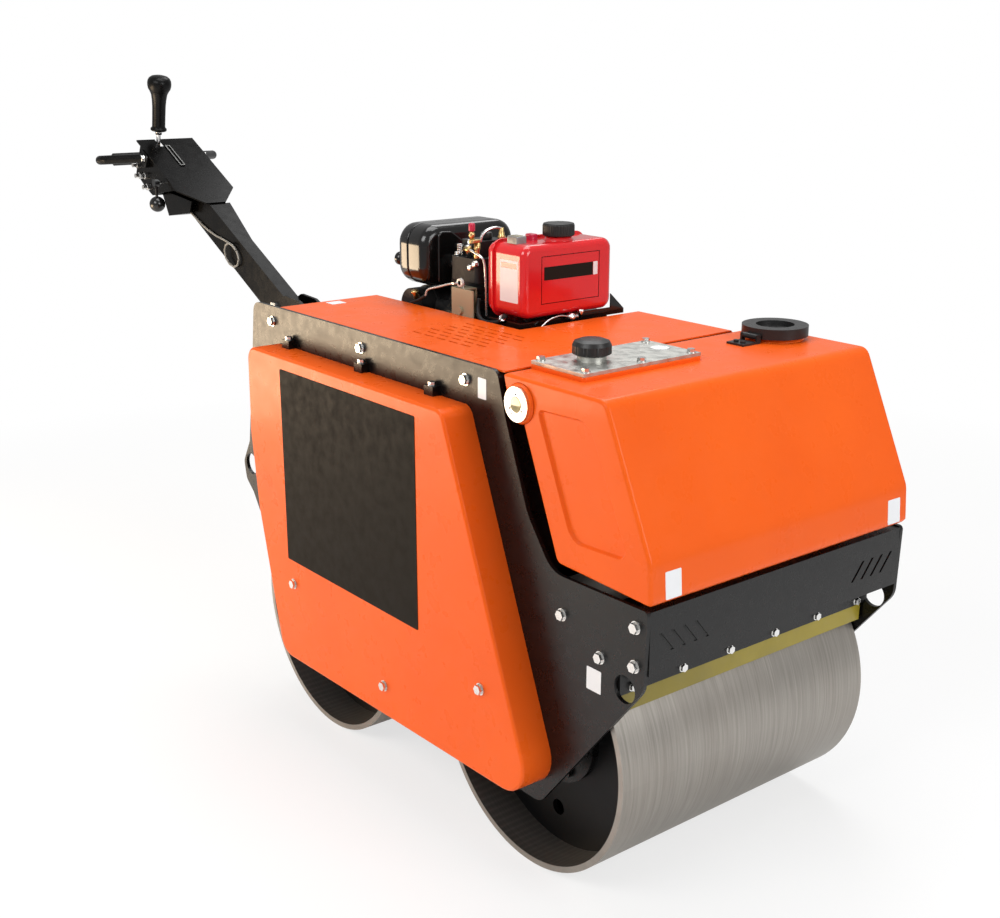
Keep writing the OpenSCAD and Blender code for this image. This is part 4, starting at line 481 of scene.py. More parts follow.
def slab_rings(points, low, high, edge_low, edge_high):
    """Rings of a rounded slab: (inset, place) pairs from its low end to its high end."""
    angles = [math.pi / 2 * k / EDGE_STEPS for k in range(EDGE_STEPS + 1)]
    curve = [(1 - math.sin(a), 1 - math.cos(a)) for a in angles]
    steps = [(edge_low * inset, low + edge_low * rise) for inset, rise in curve]
    steps += [(edge_high * inset, high - edge_high * rise) for inset, rise in reversed(curve)]
    return [(rounded(drawn_in(points, inset)), place) for inset, place in steps]


def slab(name, points, axis, low, high, edges, material, body="frame", slot="frame_black", to=at,
         open_high=False):
    """A plate or block of the given outline, its edges rounded to edges = (low, high)."""
    rings = slab_rings(points, low, high, *edges)
    if open_high:
        rings = rings[:EDGE_STEPS + 2]
    size = len(rings[0][0])
    verts = [to(*AXES[axis](p.x, p.y, place)) for outline, place in rings for p in outline]
    faces = ring_faces(len(rings), size, not open_high)
    if axis == "y":
        faces = [tuple(reversed(f)) for f in faces]
    return make(name, verts, faces, material, body)


def turned(name, profile, base, direction, material, body="frame", slot="zinc_fastener", steps=48):
    """A solid of revolution: profile is (radius, height) in mm from base along direction."""
    aim = Vector(direction).normalized()
    side = aim.orthogonal().normalized()
    other = aim.cross(side)
    verts = []
    for radius, height in profile:
        for k in range(steps):
            a = 2 * math.pi * k / steps
            outward = (side * math.cos(a) + other * math.sin(a)) * radius
            verts.append(base + (aim * height + outward) * MM)
    return make(name, verts, ring_faces(len(profile), steps), material, body)


def smooth_path(points, per_span=8):
    """A Catmull-Rom curve through the points."""
    ends = [points[0] * 2 - points[1]] + list(points) + [points[-1] * 2 - points[-2]]
    path = []
    for i in range(1, len(ends) - 2):
        a, b, c, d = ends[i - 1:i + 3]
        for k in range(per_span):
            t = k / per_span
            path.append(0.5 * (2 * b + (c - a) * t + (2 * a - 5 * b + 4 * c - d) * t * t
                               + (3 * b - a - 3 * c + d) * t ** 3))
    return path + [points[-1]]


def tube(name, points, radius, material, body="frame", sides=12, per_span=8):
    """A round tube through the points, which are in the row frame."""
    path = smooth_path(points, per_span)
    aim = (path[1] - path[0]).normalized()
    side = aim.orthogonal().normalized()
    verts = []
    for i, p in enumerate(path):
        ahead = (path[min(i + 1, len(path) - 1)] - path[max(i - 1, 0)]).normalized()
        side = (side - ahead * side.dot(ahead)).normalized()
        other = ahead.cross(side)
        for k in range(sides):
            a = 2 * math.pi * k / sides
            verts.append(p + (side * math.cos(a) + other * math.sin(a)) * radius * MM)
    return make(name, verts, ring_faces(len(path), sides), material, body)


def joined(name, pieces):
    """One object from several of the same body."""
    target = pieces[0]
    with bpy.context.temp_override(active_object=target, selected_editable_objects=pieces):
        bpy.ops.object.join()
    target.name = name
    return target


def rectangle(a0, a1, b0, b1, radius):
    """A rectangle's corners as (a, b, radius), anticlockwise."""
    return [(a0, b0, radius), (a1, b0, radius), (a1, b1, radius), (a0, b1, radius)]


def film(name, a0, a1, b0, b1, axis, low, high, material, slot, radius=1):
    """A thin printed field on a face."""
    return slab(name, rectangle(a0, a1, b0, b1, radius), axis, low, high, FILM_EDGES, material, slot=slot)


def border(name, a0, a1, b0, b1, width, axis, low, high, material, **placed):
    """Four thin strips round a rectangle."""
    radius = 0.4
    sides = ((a0, a1, b1 - width, b1), (a0, a1, b0, b0 + width),
             (a0, a0 + width, b0, b1), (a1 - width, a1, b0, b1))
    return joined(name, [slab(f"{name}_{i}", rectangle(*side, radius), axis, low, high, FILM_EDGES,
                              material, **placed) for i, side in enumerate(sides)])


# Belt cover and front tank, seen from the side. The points are shares of NOSE, DECK and FILLET.


def framed(shares):
    """An outline in millimetres from shares of the machine's lengths."""
    return [(a * NOSE, b * DECK, r * FILLET) for a, b, r in shares]


TANK_FOOT, TANK_TOE, TANK_BROW = 0.534, 1.017, 1.009
COVER = framed([
    (-0.778, 0.886, 1.00), (-0.785, 0.602, 3.33), (-0.753, 0.345, 6.67), (-0.632, -0.126, 1.50),
    (0.699, -0.100, 2.00), (0.303, 0.886, 0.83),
])
TANK = framed([
    (0.439, 1.000, 0.20), (0.457, 0.942, 0.40), (0.522, 0.889, 0.50), (0.667, 0.546, 0.50),
    (TANK_TOE, TANK_FOOT, 0.30), (TANK_BROW, 0.640, 1.33), (0.839, 1.000, 0.73),
])
RECESS = framed([
    (0.581, 0.932, 0.33), (0.666, 0.741, 2.00), (0.723, 0.616, 1.33), (0.938, 0.625, 0.60),
    (0.782, 0.939, 1.50),
])
# Steps of the recess's wall as (inset, depth), and points on each ring of the tank's skin
RECESS_STEPS = [(0, 0.0), (0.8, 0.4), (2.2, 3.0), (3.6, 5.6), (4.8, 6.0)]
TANK_POINTS = 180
# On the tank's top: the middle of the water neck, and the seat, about 2 mm wider than its plate
WATER_NECK = (388, 262)
PLATE_SEAT = (296, 439, -279, 7)


def belt_cover():
    """A pressed pan with softly rounded front edges, open towards the side plate."""
    gap, edge, sheet = 0.3, 6, 3
    cover = slab("cover_shell", COVER, "y", -COVER_FACE, -PLATE_OUT - gap, (edge, 0.2), ORANGE,
                 slot="orange_sheet", open_high=True)
    wall = cover.modifiers.new("sheet", "SOLIDIFY")
    wall.thickness = sheet * MM
    wall.offset = -1
    cover.modifiers.move(1, 0)
    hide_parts("belt_cover")


def resampled(outline, centre):
    """The outline as points at even angles round a centre."""
    parallel, slack = 1e-9, 1e-6
    result = []
    for k in range(TANK_POINTS):
        a = 2 * math.pi * k / TANK_POINTS
        aim = Vector((math.cos(a), math.sin(a)))
        reaches = []
        for i, start in enumerate(outline):
            side = outline[(i + 1) % len(outline)] - start
            cross = aim.x * side.y - aim.y * side.x
            if abs(cross) < parallel:
                continue
            away = start - centre
            reach = (away.x * side.y - away.y * side.x) / cross
            along = (away.x * aim.y - away.y * aim.x) / cross
            if reach > 0 and -slack <= along <= 1 + slack:
                reaches.append(reach)
        result.append(centre + aim * max(reaches))
    return result


def front_tank():
    """A moulded tank: rounded rim, recessed sides, a seat, a neck and a sight glass boss."""
    edge, seat_height, seat_radius = 7, 8, 8
    centre = sum((Vector(point[:2]) for point in RECESS), Vector((0, 0))) / len(RECESS)
    wall = [(rounded(drawn_in(RECESS, inset)), depth) for inset, depth in reversed(RECESS_STEPS)]
    rings = [(outline, depth - PLATE_OUT) for outline, depth in wall]
    rings += slab_rings(TANK, -PLATE_OUT, PLATE_OUT, edge, edge)
    rings += [(outline, PLATE_OUT - depth) for outline, depth in reversed(wall)]
    verts = [at(p.x, place, p.y) for outline, place in rings for p in resampled(outline, centre)]
    faces = [tuple(reversed(face)) for face in ring_faces(len(rings), TANK_POINTS)]
    shell = make("tank_shell", verts, faces, ORANGE, "frame")
    turned("tank_neck", [(58, -1), (55, 1.5), (52.5, 5), (52, 7), (48, 7), (48, -60), (1, -60)],
           at(*WATER_NECK, DECK), (0, 0, 1), ORANGE, slot="orange_sheet", steps=64)
    glass = cad_middle("sight_glass_ring")
    turned("sight_boss", [(38, -1), (35, 2), (34, 5), (33, 6), (12, 6), (12, -1)],
           at(glass.x, -PLATE_OUT, glass.z), (0, -1, 0), ORANGE, slot="orange_sheet")
    slab("tank_seat", rectangle(*PLATE_SEAT, seat_radius), "z", DECK - 1, DECK + seat_height, (0.2, 3),
         ORANGE, slot="orange_sheet")
    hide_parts("front_tank")


def sight_glass():
    """A wide pane in the ring and the three screws that hold it."""
    front = cad_corners("sight_glass_ring")[0].y
    middle = cad_middle("sight_glass_ring")
    turned("sight_glass_pane", [(14.5, -0.2), (14.5, 0.4), (13.5, 0.8), (0.1, 0.8)],
           at(middle.x, front, middle.z), (0, -1, 0), LENS, slot="sight_glass", steps=40)
    screws, circle = 3, 18
    for i in range(screws):
        a = math.pi / 2 + 2 * math.pi * i / screws
        spot = at(middle.x + circle * math.cos(a), front, middle.z + circle * math.sin(a))
        turned(f"sight_glass_screw_{i}", [(2.2, -0.2), (2.2, 0.5), (0.1, 0.9)], spot, (0, -1, 0),
               MATTE_METAL, steps=16)


def on_tank_front(x, y, z):
    """A point beside the tank's low front face, which leans back with its height."""
    lean = 0.073
    return at(x - (z - TANK_FOOT * DECK) * lean, y, z)


# Small signs: their corner radius, the fields of those on the side plate, on the deck and on the
# tank's front, where all are alike, and the middle of the round one on the tank's top plate
SIGN_RADIUS = 2
PLATE_SIGNS = {"upper": (222, 246, 622, 660), "nose": (524, 560, 170, 212)}
DECK_SIGN = (-482, -452, -222, -186)
TANK_SIGNS = {"left": -285, "right": 294}
TANK_SIGN_HALF, TANK_SIGN_HEIGHTS, TANK_SIGN_FACES = 18, (371, 418), (672, 672.8)
ROUND_SIGN = (363, -25, DECK + 14)


def blank_plates():
    """Bare white plates where the machine carries small signs."""
    white = {"material": WHITE, "slot": "alloy_plate"}
    for name, field in PLATE_SIGNS.items():
        film(f"plate_sign_{name}", *field, "y", -PLATE_OUT - SIGN, -PLATE_OUT, radius=SIGN_RADIUS, **white)
    film("deck_sign", *DECK_SIGN, "z", DECK, DECK + SIGN, radius=SIGN_RADIUS, **white)
    for name, y in TANK_SIGNS.items():
        field = rectangle(y - TANK_SIGN_HALF, y + TANK_SIGN_HALF, *TANK_SIGN_HEIGHTS, SIGN_RADIUS)
        slab(f"tank_sign_{name}", field, "x", *TANK_SIGN_FACES, FILM_EDGES, to=on_tank_front, **white)
    turned("plate_sign_round", [(17, -0.1), (17, 0.5), (0.1, 0.5)], at(*ROUND_SIGN), (0, 0, 1), **white)


# Fuel tank: its seam and the heights of its feet and neck, and from these its shell within the CAD box

FUEL_SEAM, FUEL_FEET, FUEL_COLLAR = 6, 6, 14
fuel_low, fuel_high = cad_corners("fuel_tank")
FUEL_ENDS = (fuel_low.x, fuel_high.x)
FUEL_SIDES = (fuel_low.y + FUEL_SEAM, fuel_high.y - FUEL_SEAM)
FUEL_HEIGHTS = (fuel_low.z + FUEL_FEET, fuel_high.z - FUEL_COLLAR)
FUEL_NECK = (-38.2, 73.3)
FUEL_FOOT_X, FUEL_FOOT_Y, FUEL_FOOT_HALF = (-89, -63), (-7, 139), 14
# Its printed fields: on the end, a border, a band and the band's end; on the side, a plate and a band
FUEL_BORDER, BORDER_LINE = (-8, 149, 722, 819), 1.2
FUEL_BAND, FUEL_BAND_END, FUEL_BAND_HEIGHTS = (-1, 131), (132, 144), (770, 797)
FUEL_SIDE_PLATE, FUEL_SIDE_BAND = (-70, -12, 726, 811), (-66, -16, 795, 806)
# What stands on it: field, corner radius, heights over the shell, edges and material
FUEL_TOP = {
    "fuel_gauge_block": ((-68, -34, -40, -14), 3, (-1, 14), (0.5, 2), MATTE_METAL),
    "fuel_gauge_lens": ((-62, -40, -35, -19), 2, (13.5, 15), (0.2, 0.5), LENS),
    "fuel_vent": ((-84, -60, 20, 38), 5, (-1, 12), (0.5, 3), LEVER_RED),
}


def fuel_tank():
    """Two pressed halves with a seam, a neck and two feet."""
    (y0, y1), (z0, z1) = FUEL_SIDES, FUEL_HEIGHTS
    lip, seam_start, seam_end = FUEL_SEAM - 0.5, -94, -88.8
    corner, seam_corner, foot_corner, foot_lap = 22, 26, 3, 3
    body = slab("fuel_shell", rectangle(y0, y1, z0, z1, corner), "x", *FUEL_ENDS, (32, 15), RED,
                slot="tank_red")
    rim = rectangle(y0 - lip, y1 + lip, z0 - lip, z1 + lip, seam_corner)
    seam = slab("fuel_seam", rim, "x", seam_start, seam_end, (1.5, 1.5), RED, slot="tank_red")
    neck = turned("fuel_neck", [(33, -3), (31, 1), (28, 4), (27, 8), (21, 8), (21, -4)],
                  at(*FUEL_NECK, z1), (0, 0, 1), RED, slot="tank_red")
    feet = []
    for i, y in enumerate(FUEL_FOOT_Y):
        field = rectangle(*FUEL_FOOT_X, y - FUEL_FOOT_HALF, y + FUEL_FOOT_HALF, foot_corner)
        feet.append(slab(f"fuel_foot_{i}", field, "z", fuel_low.z, z0 + foot_lap, (1, 1), RED,
                         slot="tank_red"))
    shell = joined("fuel_tank_skin", [body, seam, neck] + feet)
    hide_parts("fuel_tank")
    fuel_labels()
    for name, (field, radius, (low, high), edges, material) in FUEL_TOP.items():
        slab(name, rectangle(*field, radius), "z", z1 + low, z1 + high, edges, material)


def fuel_labels():
    """A thin printed border, a plain black band and bare white plates."""
    face, side = FUEL_ENDS[1], FUEL_SIDES[0]
    border("fuel_border", *FUEL_BORDER, BORDER_LINE, "x", face, face + FILM, GLOSS_BLACK, slot="tank_red")
    band = (*FUEL_BAND_HEIGHTS, "x", face, face + FILM)
    film("fuel_band", *FUEL_BAND, *band, PANEL_BLACK, "panel_black")
    film("fuel_band_end", *FUEL_BAND_END, *band, WHITE, "alloy_plate")
    film("fuel_end_plate", *FUEL_SIDE_PLATE, "y", side - 0.5, side, WHITE, "alloy_plate", radius=2)
    film("fuel_end_band", *FUEL_SIDE_BAND, "y", side - 2 * FILM, side - FILM, RED, "tank_red")


def fuel_cap():
    """A ribbed plastic cap."""
    ribs, rib_share, neck_height = 36, 0.02, 8.4
    ribbed_from, ribbed_low, ribbed_high = 30.5, 1, 22
    foot = FUEL_HEIGHTS[1] + neck_height
    profile = [(0.1, 0), (31, 0), (32.5, 2), (32.5, 21), (31.5, 25), (28, 26), (26, 24.5), (0.1, 24.5)]
    cap = turned("fuel_cap_body", profile, at(*FUEL_NECK, foot), (0, 0, 1), PLASTIC, "fuel_filler_cap",
                 "cap_plastic", ribs * 4)
    centre = at(*FUEL_NECK, 0)
    for vertex in cap.data.vertices:
        flat = Vector((vertex.co.x - centre.x, vertex.co.y - centre.y))
        height = (vertex.co.z - ORIGIN.z) / MM - foot
        if flat.length > ribbed_from * MM and ribbed_low < height < ribbed_high:
            flat *= 1 + rib_share * math.cos(math.atan2(flat.y, flat.x) * ribs)
            vertex.co.x, vertex.co.y = centre.x + flat.x, centre.y + flat.y
    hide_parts("fuel_cap")


# Muffler, head and the small parts round them


def muffler():
    """Two pressed halves with a seam, the tail, the outlet with its foot, and the guard in front."""
    low, high = cad_corners("muffler")
    y0, y1, z0, z1 = low.y, high.y, 722, high.z
    back, middle, face = low.x + 30, -364, -302
    corner, lip, seam_width, overlap, foot_edge = 44, 3, 5, 1, (0.5, 0.5)
    foot_sheet, foot_corner, foot_sides, foot_lap, toe_heights = 6, 2, (17, 51), 3, (0.2, 3)
    tail_spot, outlet_spot = at(back, -50.5, 770), at(face, 5, 771)
    black = {"material": ENGINE_BLACK, "slot": "engine_black"}
    rear = slab("muffler_rear", rectangle(y0, y1, z0, z1, corner), "x", back, middle + overlap, (24, 3),
                **black)
    waist = rectangle(y0 + lip, y1 - lip, z0 + lip, z1 - lip, corner - lip)
    seam = slab("muffler_seam", waist, "x", middle, middle + seam_width, (0.5, 0.5), **black)
    front = slab("muffler_front", rectangle(y0, y1, z0, z1, corner), "x", middle + seam_width - overlap,
                 face, (3, 22), **black)
    tail = turned("muffler_tail", [(15, 0), (15, 29), (12, 29), (12, 4)], tail_spot, (-1, 0, 0),
                  steps=32, **black)
    outlet = turned("muffler_outlet", [(13, 0), (15, 2), (15, 43)], outlet_spot, (1, 0, 0), MATTE_METAL,
                    slot="engine_black", steps=32)
    foot = slab("muffler_foot", rectangle(face - foot_sheet, face, *foot_sides, foot_corner), "z", low.z,
                z0 + foot_lap, foot_edge, **black)
    sole = rectangle(face - foot_sheet, high.x - overlap, *foot_sides, foot_corner)
    toe = slab("muffler_toe", sole, "z", *(low.z + height for height in toe_heights), foot_edge, **black)
    skin = joined("muffler_skin", [rear, seam, front, tail, outlet, foot, toe])
    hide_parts("muffler")
    guard = [(91, 741, 10), (91, 771, 12), (-8, 840, 10), (-44, 842, 12), (-44, 729, 8)]
    guard_back, guard_front = face - 3, face + 4
    slab("muffler_guard", guard, "x", guard_back, guard_front, (1, 3), **black)


def decompression_lever():
    """A brass post with a short arm and an upright knob with a red cap."""
    low, high = cad_corners("decompression_lever")
    gap, radius, lift, thickness, corner, reach, tip = 0.3, 7, 34.5, 6.8, 6.8, 14, 6
    x, y, z = (low.x + high.x) / 2, high.y - radius, low.z - gap
    brass = {"material": BRASS, "body": "decompressor"}
    post = turned("decompression_post", [(0.1, gap), (7, gap), (7, 10), (5.5, 11), (5.5, 20), (7, 21),
                                         (7, lift)], at(x, y, z), (0, 0, 1), steps=32, **brass)
    field = rectangle(x - radius, x + radius, y - reach - tip, y + radius, corner)
    arm = slab("decompression_arm", field, "z", z + lift, z + lift + thickness, (1, 1.5),
               slot="zinc_fastener", **brass)
    knob = at(x, y - reach, z + lift)
    stem = turned("decompression_stem", [(5, 5), (5, 14), (6.5, 15), (6.5, 20), (5, 21), (5, 27)], knob,
                  (0, 0, 1), steps=32, **brass)
    cap = turned("decompression_cap", [(0.1, 25), (6, 25), (7, 26.5), (7, 38), (6, 41), (3, 42), (0.1, 42)],
                 knob, (0, 0, 1), LEVER_RED, "decompressor", "lever_red", 32)
    skin = joined("decompression_skin", [post, arm, stem, cap])
    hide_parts("decompression_lever")


# Pipes, hoses and rods that show above the deck: radius, material, slot, and points
PIPES = {
    "return_pipe": (3.2, ZINC, "zinc_fastener", [
        (-175, 32, 855), (-176, 16, 858), (-178, -4, 854), (-180, -16, 844), (-181, -20, 829)]),
    "injector_pipe": (2.4, ZINC, "zinc_fastener", [
        (-190, -43, 816), (-172, -45, 812), (-150, -45, 806), (-141, -42, 796), (-139, -40, 770),
        (-139, -38, 690), (-139, -37, 612)]),
    "fuel_hose": (4.5, RUBBER, "rubber", [
        (-40, -66, 700), (-60, -68, 684), (-98, -69, 678), (-122, -68, 684), (-136, -62, 700),
        (-140, -56, 720)]),
    "drain_wire": (1.6, ZINC, "zinc_fastener", [
        (12, -14, 678), (12, 8, 690), (12, 36, 695), (12, 60, 691)]),
    "throttle_link": (2.2, STEEL_ROD, "zinc_fastener", [
        (-178, -81, 750), (-210, -80, 744), (-250, -79, 733), (-292, -78, 721), (-304, -77, 706)]),
    "control_sleeve": (3.6, RUBBER, "rubber", [
        (-304, -77, 706), (-330, -74, 694), (-372, -73, 678), (-400, -70, 662)]),
}
ELBOW_RADIUS = 15
INTAKE_ELBOW = [(-348, -8, 674), (-318, -8, 671), (-292, -8, 682), (-280, -8, 706), (-277, -8, 735),
                (-270, -8, 757), (-257, -8, 766)]
# Where the throttle link's eye, the oil cap and the rocker's spring stand, and the spring's wire
LINK_EYE, OIL_CAP, SPRING_FOOT, SPRING_WIRE = (-175, -78, 751), (-212, 20, 830), (-236, -32, 800), 1.3

# Profiles of turned fittings as (radius, height), then where each stands, its direction and material
NUT = [(8, -0.5), (8, 2), (7, 2.2), (7, 7), (5.5, 8), (0.1, 8)]
UNION = [(5, -8), (5, 0), (7, 1), (7, 9), (4, 11)]
INJECTOR = [(9, 0), (9, 10), (6.5, 12), (6.5, 18), (5, 20), (5, 28), (0.1, 28)]
GLOW_PLUG = [(6, 0), (6, 16), (8, 17), (8, 26), (3, 27), (3, 38), (0.1, 38)]
TAP = [(6, 0), (6, 8), (8, 9), (8, 15), (5, 16), (5, 26), (0.1, 26)]
TAP_LEVER = [(4, 0), (4, 12), (6, 13), (6, 18), (0.1, 18)]
CLIP = [(6, 0), (6, 16), (8, 17), (8, 22), (0.1, 22)]
FITTINGS = {
    "injector_pipe_nut": (UNION, (-198, -42, 815), (1, 0, 0), BRASS),
    "injector_body": (INJECTOR, (-175, 32, 829), (0, 0, 1), BRASS),
    "glow_plug": (GLOW_PLUG, (-206, -32, 796), (0, 0, 1), ZINC),
    "cover_nut_0": (NUT, (-186, -40, 778), (0, -1, 0), ZINC),
    "cover_nut_1": (NUT, (-170, -40, 787), (0, -1, 0), ZINC),
    "fuel_hose_clamp": ([(6.5, 0), (6.5, 9)], (-52, -67, 690), (1, -0.1, 0.8), ZINC),
    "fuel_tap": (TAP, (11, 58, 689), (0, 1, 0), ZINC),
    "fuel_tap_lever": (TAP_LEVER, (12, 94, 684), (0, 0, 1), ZINC),
    "filter_clip": (CLIP, (-352, -66, 690), (0, -0.3, 1), BRASS),
    "head_nut_0": (NUT, (-250, -28, 796), (0, 0, 1), ZINC),
    "head_nut_1": (NUT, (-250, 42, 796), (0, 0, 1), ZINC),
}


def engine_details():
    """Pipes, hoses and fittings that show above the deck."""
    for name, (radius, material, slot, points) in PIPES.items():
        tube(name, [at(*point) for point in points], radius, material)
    elbow = [at(*point) for point in INTAKE_ELBOW]
    tube("intake_elbow", elbow, ELBOW_RADIUS, RUBBER, sides=24)
    for name, (profile, foot, direction, material) in FITTINGS.items():
        turned(name, profile, at(*foot), direction, material, steps=24)
    turned("link_eye", [(9, -3), (9, 3), (5, 3), (5, -3)], at(*LINK_EYE), (0, 1, 0), STEEL_ROD,
           body="throttle", steps=24)
    turned("oil_cap", [(11, 0), (13, 3), (13, 12), (11, 15), (0.1, 15)], at(*OIL_CAP), (0, 0, 1),
           PLASTIC, slot="cap_plastic", steps=24)
    spring = coil(at(*SPRING_FOOT), radius=6, height=22, turns=6)
    tube("rocker_spring", spring, SPRING_WIRE, ZINC, sides=8, per_span=2)


def coil(base, radius, height, turns, per_turn=10):
    """The points of an upright helix."""
    angles = [2 * math.pi * k / per_turn for k in range(turns * per_turn + 1)]
    rise = height / angles[-1]
    return [base + Vector((math.cos(a) * radius, math.sin(a) * radius, a * rise)) * MM for a in angles]


# Handle: the travel lever's pivot on the arm, its lean at rest, and where its locknut and grip begin

LEVER_PIVOT = on_arm(754, -25, -8)
LEVER_LEAN = math.radians(11.5)
LOCKNUT_HEIGHT, GRIP_HEIGHT = 79, 90
# The loop's root bolts, and the printed scale: its field on the arm, its line width and its faces
ROOT_BOLT = (715, 92, 28)
SCALE_FIELD, SCALE_LINE, SCALE_FACES = (632.4, 741.6, -17.6, -3.4), 2.6, (50.9, 51.4)


def lever_grip():
    """A grip that swells towards its top, with the locknut under it."""
    aim = Vector((math.sin(LEVER_LEAN), 0, math.cos(LEVER_LEAN)))
    profile = [
        (0.1, 0), (21.5, 0), (23, 1.5), (23, 6), (21, 8), (19.2, 9.5), (18.8, 14), (18.8, 40), (19.2, 70),
        (20.5, 88), (23, 104), (27, 113), (31.5, 120), (33.6, 128), (34, 136), (33, 143),
        (29.5, 150), (23, 155), (13, 157.6), (0.1, 158),
    ]
    grip = turned("travel_grip", profile, LEVER_PIVOT + aim * GRIP_HEIGHT * MM, aim, GRIP_BLACK,
                  "travel_control", "rubber", 40)
    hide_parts("lever_grip")
    turned("lever_locknut", [(9.5, 0), (9.5, 7), (8.5, 8), (6.2, 8)],
           LEVER_PIVOT + aim * LOCKNUT_HEIGHT * MM, aim, ZINC, "travel_control", steps=24)


def loop_details():
    """The bolt heads of the loop's roots, and the light scale beside the lever."""
    u, y, w = ROOT_BOLT
    for side, name in ((-1, "left"), (1, "right")):
        turned(f"loop_root_bolt_{name}", [(11, 0), (11, 2), (9.5, 2.2), (9.5, 9), (8, 10), (0.1, 10)],
               on_arm(u, side * y, w), (0, side, 0), ZINC, "handle", steps=24)
    border("lever_scale", *SCALE_FIELD, SCALE_LINE, "z", *SCALE_FACES, SCALE_GREY, body="handle",
           slot="alloy_plate", to=on_arm)


# Stage, in metres: the floor's half size, between which distances its white takes over from its
# shading and by which shares, the strength of the light from all round, and how much of the white
# shows in reflections

FLOOR_HALF = 30.0
FLOOR_FADE = (1.4, 3.4, 0.70, 1.0)
FILL_LIGHT = 0.27
MIRRORED_SHARE = 0.25

# Area lamps: place, aim, width and height, power in watts, colour
WHITE_LIGHT, WARM_LIGHT = (1, 1, 1), (1.0, 0.76, 0.50)
LAMP_AIM = (0.6, 0.0, 0.6)
LAMPS = {
    "key": ((1.2, -3.6, 3.4), LAMP_AIM, (2.6, 1.8), 98, WHITE_LIGHT),
    "front": ((4.6, 0.6, 2.4), LAMP_AIM, (2.2, 2.2), 84, WHITE_LIGHT),
    "top": ((0.3, 0.4, 4.2), LAMP_AIM, (3.0, 2.0), 84, WHITE_LIGHT),
    "left": ((-1.6, -1.8, 0.5), (0.4, -0.3, 0.85), (1.7, 0.75), 42, WARM_LIGHT),
    "back": ((-1.8, 2.4, 4.4), LAMP_AIM, (2.0, 2.0), 45, WHITE_LIGHT),
}

# The photograph's camera: its place in millimetres over the floor, its direction, and its focal
# length and width in pixels
CAMERA_PLACE = (2082.7, -1757.7, 1470.9)
CAMERA_DIRECTION = (-0.7511, 0.5940, -0.2882)
FOCAL_PIXELS, PHOTO_WIDTH = 1351.5, 1000
SENSOR_WIDTH = 36.0


def looking(tree):
    """One for rays that see the scene, a share for reflected ones, and none for those that light it."""
    path = tree.nodes.new("ShaderNodeLightPath")
    glossy = tree.nodes.new("ShaderNodeMath")
    glossy.operation = "MULTIPLY"
    tree.links.new(path.outputs["Is Glossy Ray"], glossy.inputs[0])
    glossy.inputs[1].default_value = MIRRORED_SHARE
    result = path.outputs["Is Camera Ray"]
    for output in (glossy.outputs[0], path.outputs["Is Transmission Ray"]):
        either = tree.nodes.new("ShaderNodeMath")
        either.operation = "MAXIMUM"
        tree.links.new(result, either.inputs[0])
        tree.links.new(output, either.inputs[1])
        result = either.outputs[0]
    return result


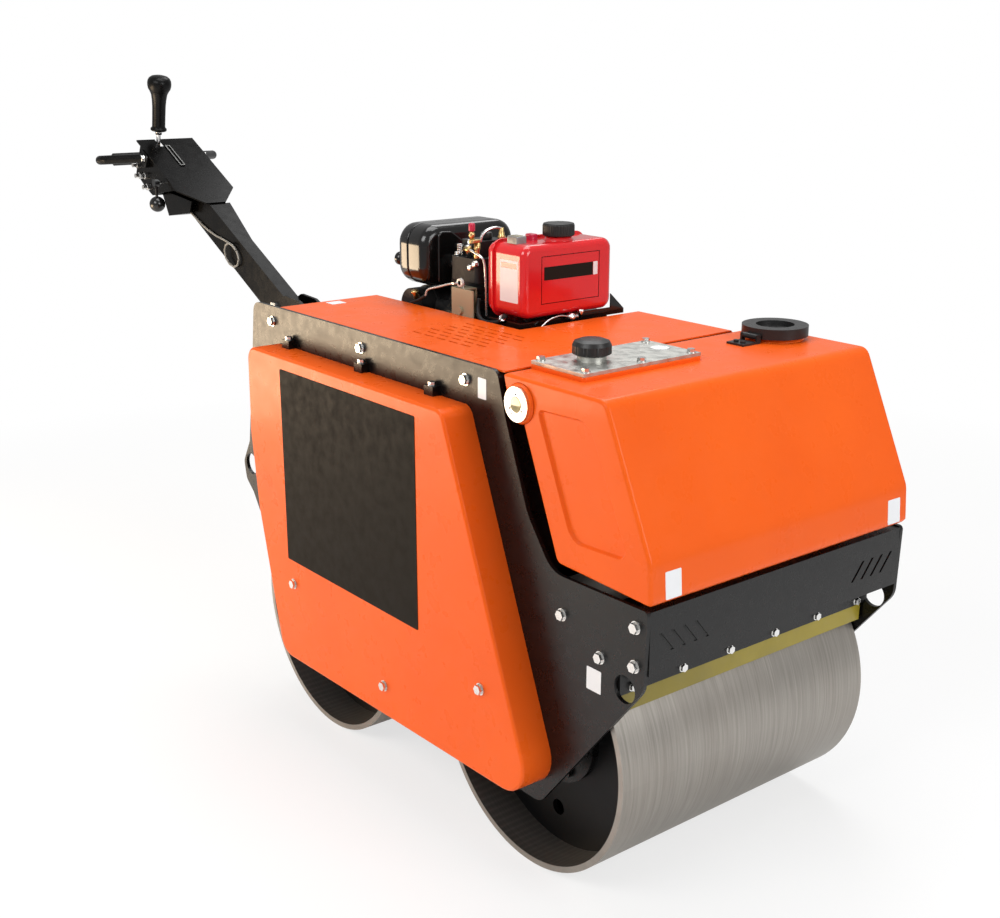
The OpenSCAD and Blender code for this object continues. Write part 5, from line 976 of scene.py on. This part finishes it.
def stage():
    """A white floor that keeps the machine's shadow and fades into the white world."""
    n = Nodes("floor_white")
    n.set(Base_Color=(0.9, 0.9, 0.9), Roughness=0.9)
    glow = n.add("ShaderNodeEmission")
    split = n.add("ShaderNodeSeparateXYZ")
    n.join(n.place, split.inputs[0])
    away = n.length(n.math("SUBTRACT", split.outputs["X"], ORIGIN.x), split.outputs["Y"])
    blend = n.add("ShaderNodeMixShader")
    n.join(n.math("MULTIPLY", looking(n.tree), n.ramp(away, *FLOOR_FADE)), blend.inputs[0])
    n.join(n.shader.outputs[0], blend.inputs[1])
    n.join(glow.outputs[0], blend.inputs[2])
    n.join(blend.outputs[0], n.tree.nodes["Material Output"].inputs["Surface"])
    mesh = bpy.data.meshes.new("floor")
    corners = [(x * FLOOR_HALF, y * FLOOR_HALF, 0) for x, y in ((-1, -1), (1, -1), (1, 1), (-1, 1))]
    mesh.from_pydata(corners, [], [(0, 1, 2, 3)])
    mesh.materials.append(n.material)
    floor = bpy.data.objects.new("floor", mesh)
    bpy.context.scene.collection.objects.link(floor)


def world():
    """Plain light from all round, and pure white where it is looked at."""
    sky = bpy.data.worlds.new("studio")
    bpy.context.scene.world = sky
    sky.use_nodes = True
    tree = sky.node_tree
    fill = tree.nodes["Background"]
    fill.inputs["Color"].default_value = (1, 1, 1, 1)
    fill.inputs["Strength"].default_value = FILL_LIGHT
    white = tree.nodes.new("ShaderNodeBackground")
    white.inputs["Color"].default_value = (1, 1, 1, 1)
    mix = tree.nodes.new("ShaderNodeMixShader")
    tree.links.new(looking(tree), mix.inputs[0])
    tree.links.new(fill.outputs[0], mix.inputs[1])
    tree.links.new(white.outputs[0], mix.inputs[2])
    tree.links.new(mix.outputs[0], tree.nodes["World Output"].inputs["Surface"])


def aimed(name, data, place, direction):
    """An object with the given data that looks along a direction."""
    obj = bpy.data.objects.new(name, data)
    obj.location = place
    obj.rotation_euler = Vector(direction).to_track_quat("-Z", "Y").to_euler()
    bpy.context.scene.collection.objects.link(obj)
    return obj


def lights():
    for name, (place, aim, size, power, colour) in LAMPS.items():
        data = bpy.data.lights.new(name, "AREA")
        data.color = colour
        data.shape = "RECTANGLE"
        data.size, data.size_y = size
        data.energy = power
        aimed(name, data, place, Vector(aim) - Vector(place)).visible_camera = False


def camera():
    """The photograph's view: its place, heading, pitch and field."""
    data = bpy.data.cameras.new("camera")
    data.sensor_width = SENSOR_WIDTH
    data.lens = FOCAL_PIXELS / PHOTO_WIDTH * SENSOR_WIDTH
    data.clip_end = 100
    place = Vector(CAMERA_PLACE) * MM + Vector((ORIGIN.x, ORIGIN.y, 0))
    bpy.context.scene.camera = aimed("camera", data, place, CAMERA_DIRECTION)


camera()
world()
lights()
stage()
dress_nodes()
belt_cover()
front_tank()
sight_glass()
blank_plates()
fuel_tank()
fuel_cap()
muffler()
decompression_lever()
engine_details()
lever_grip()
loop_details()

bpy.context.scene.view_settings.view_transform = "Standard"
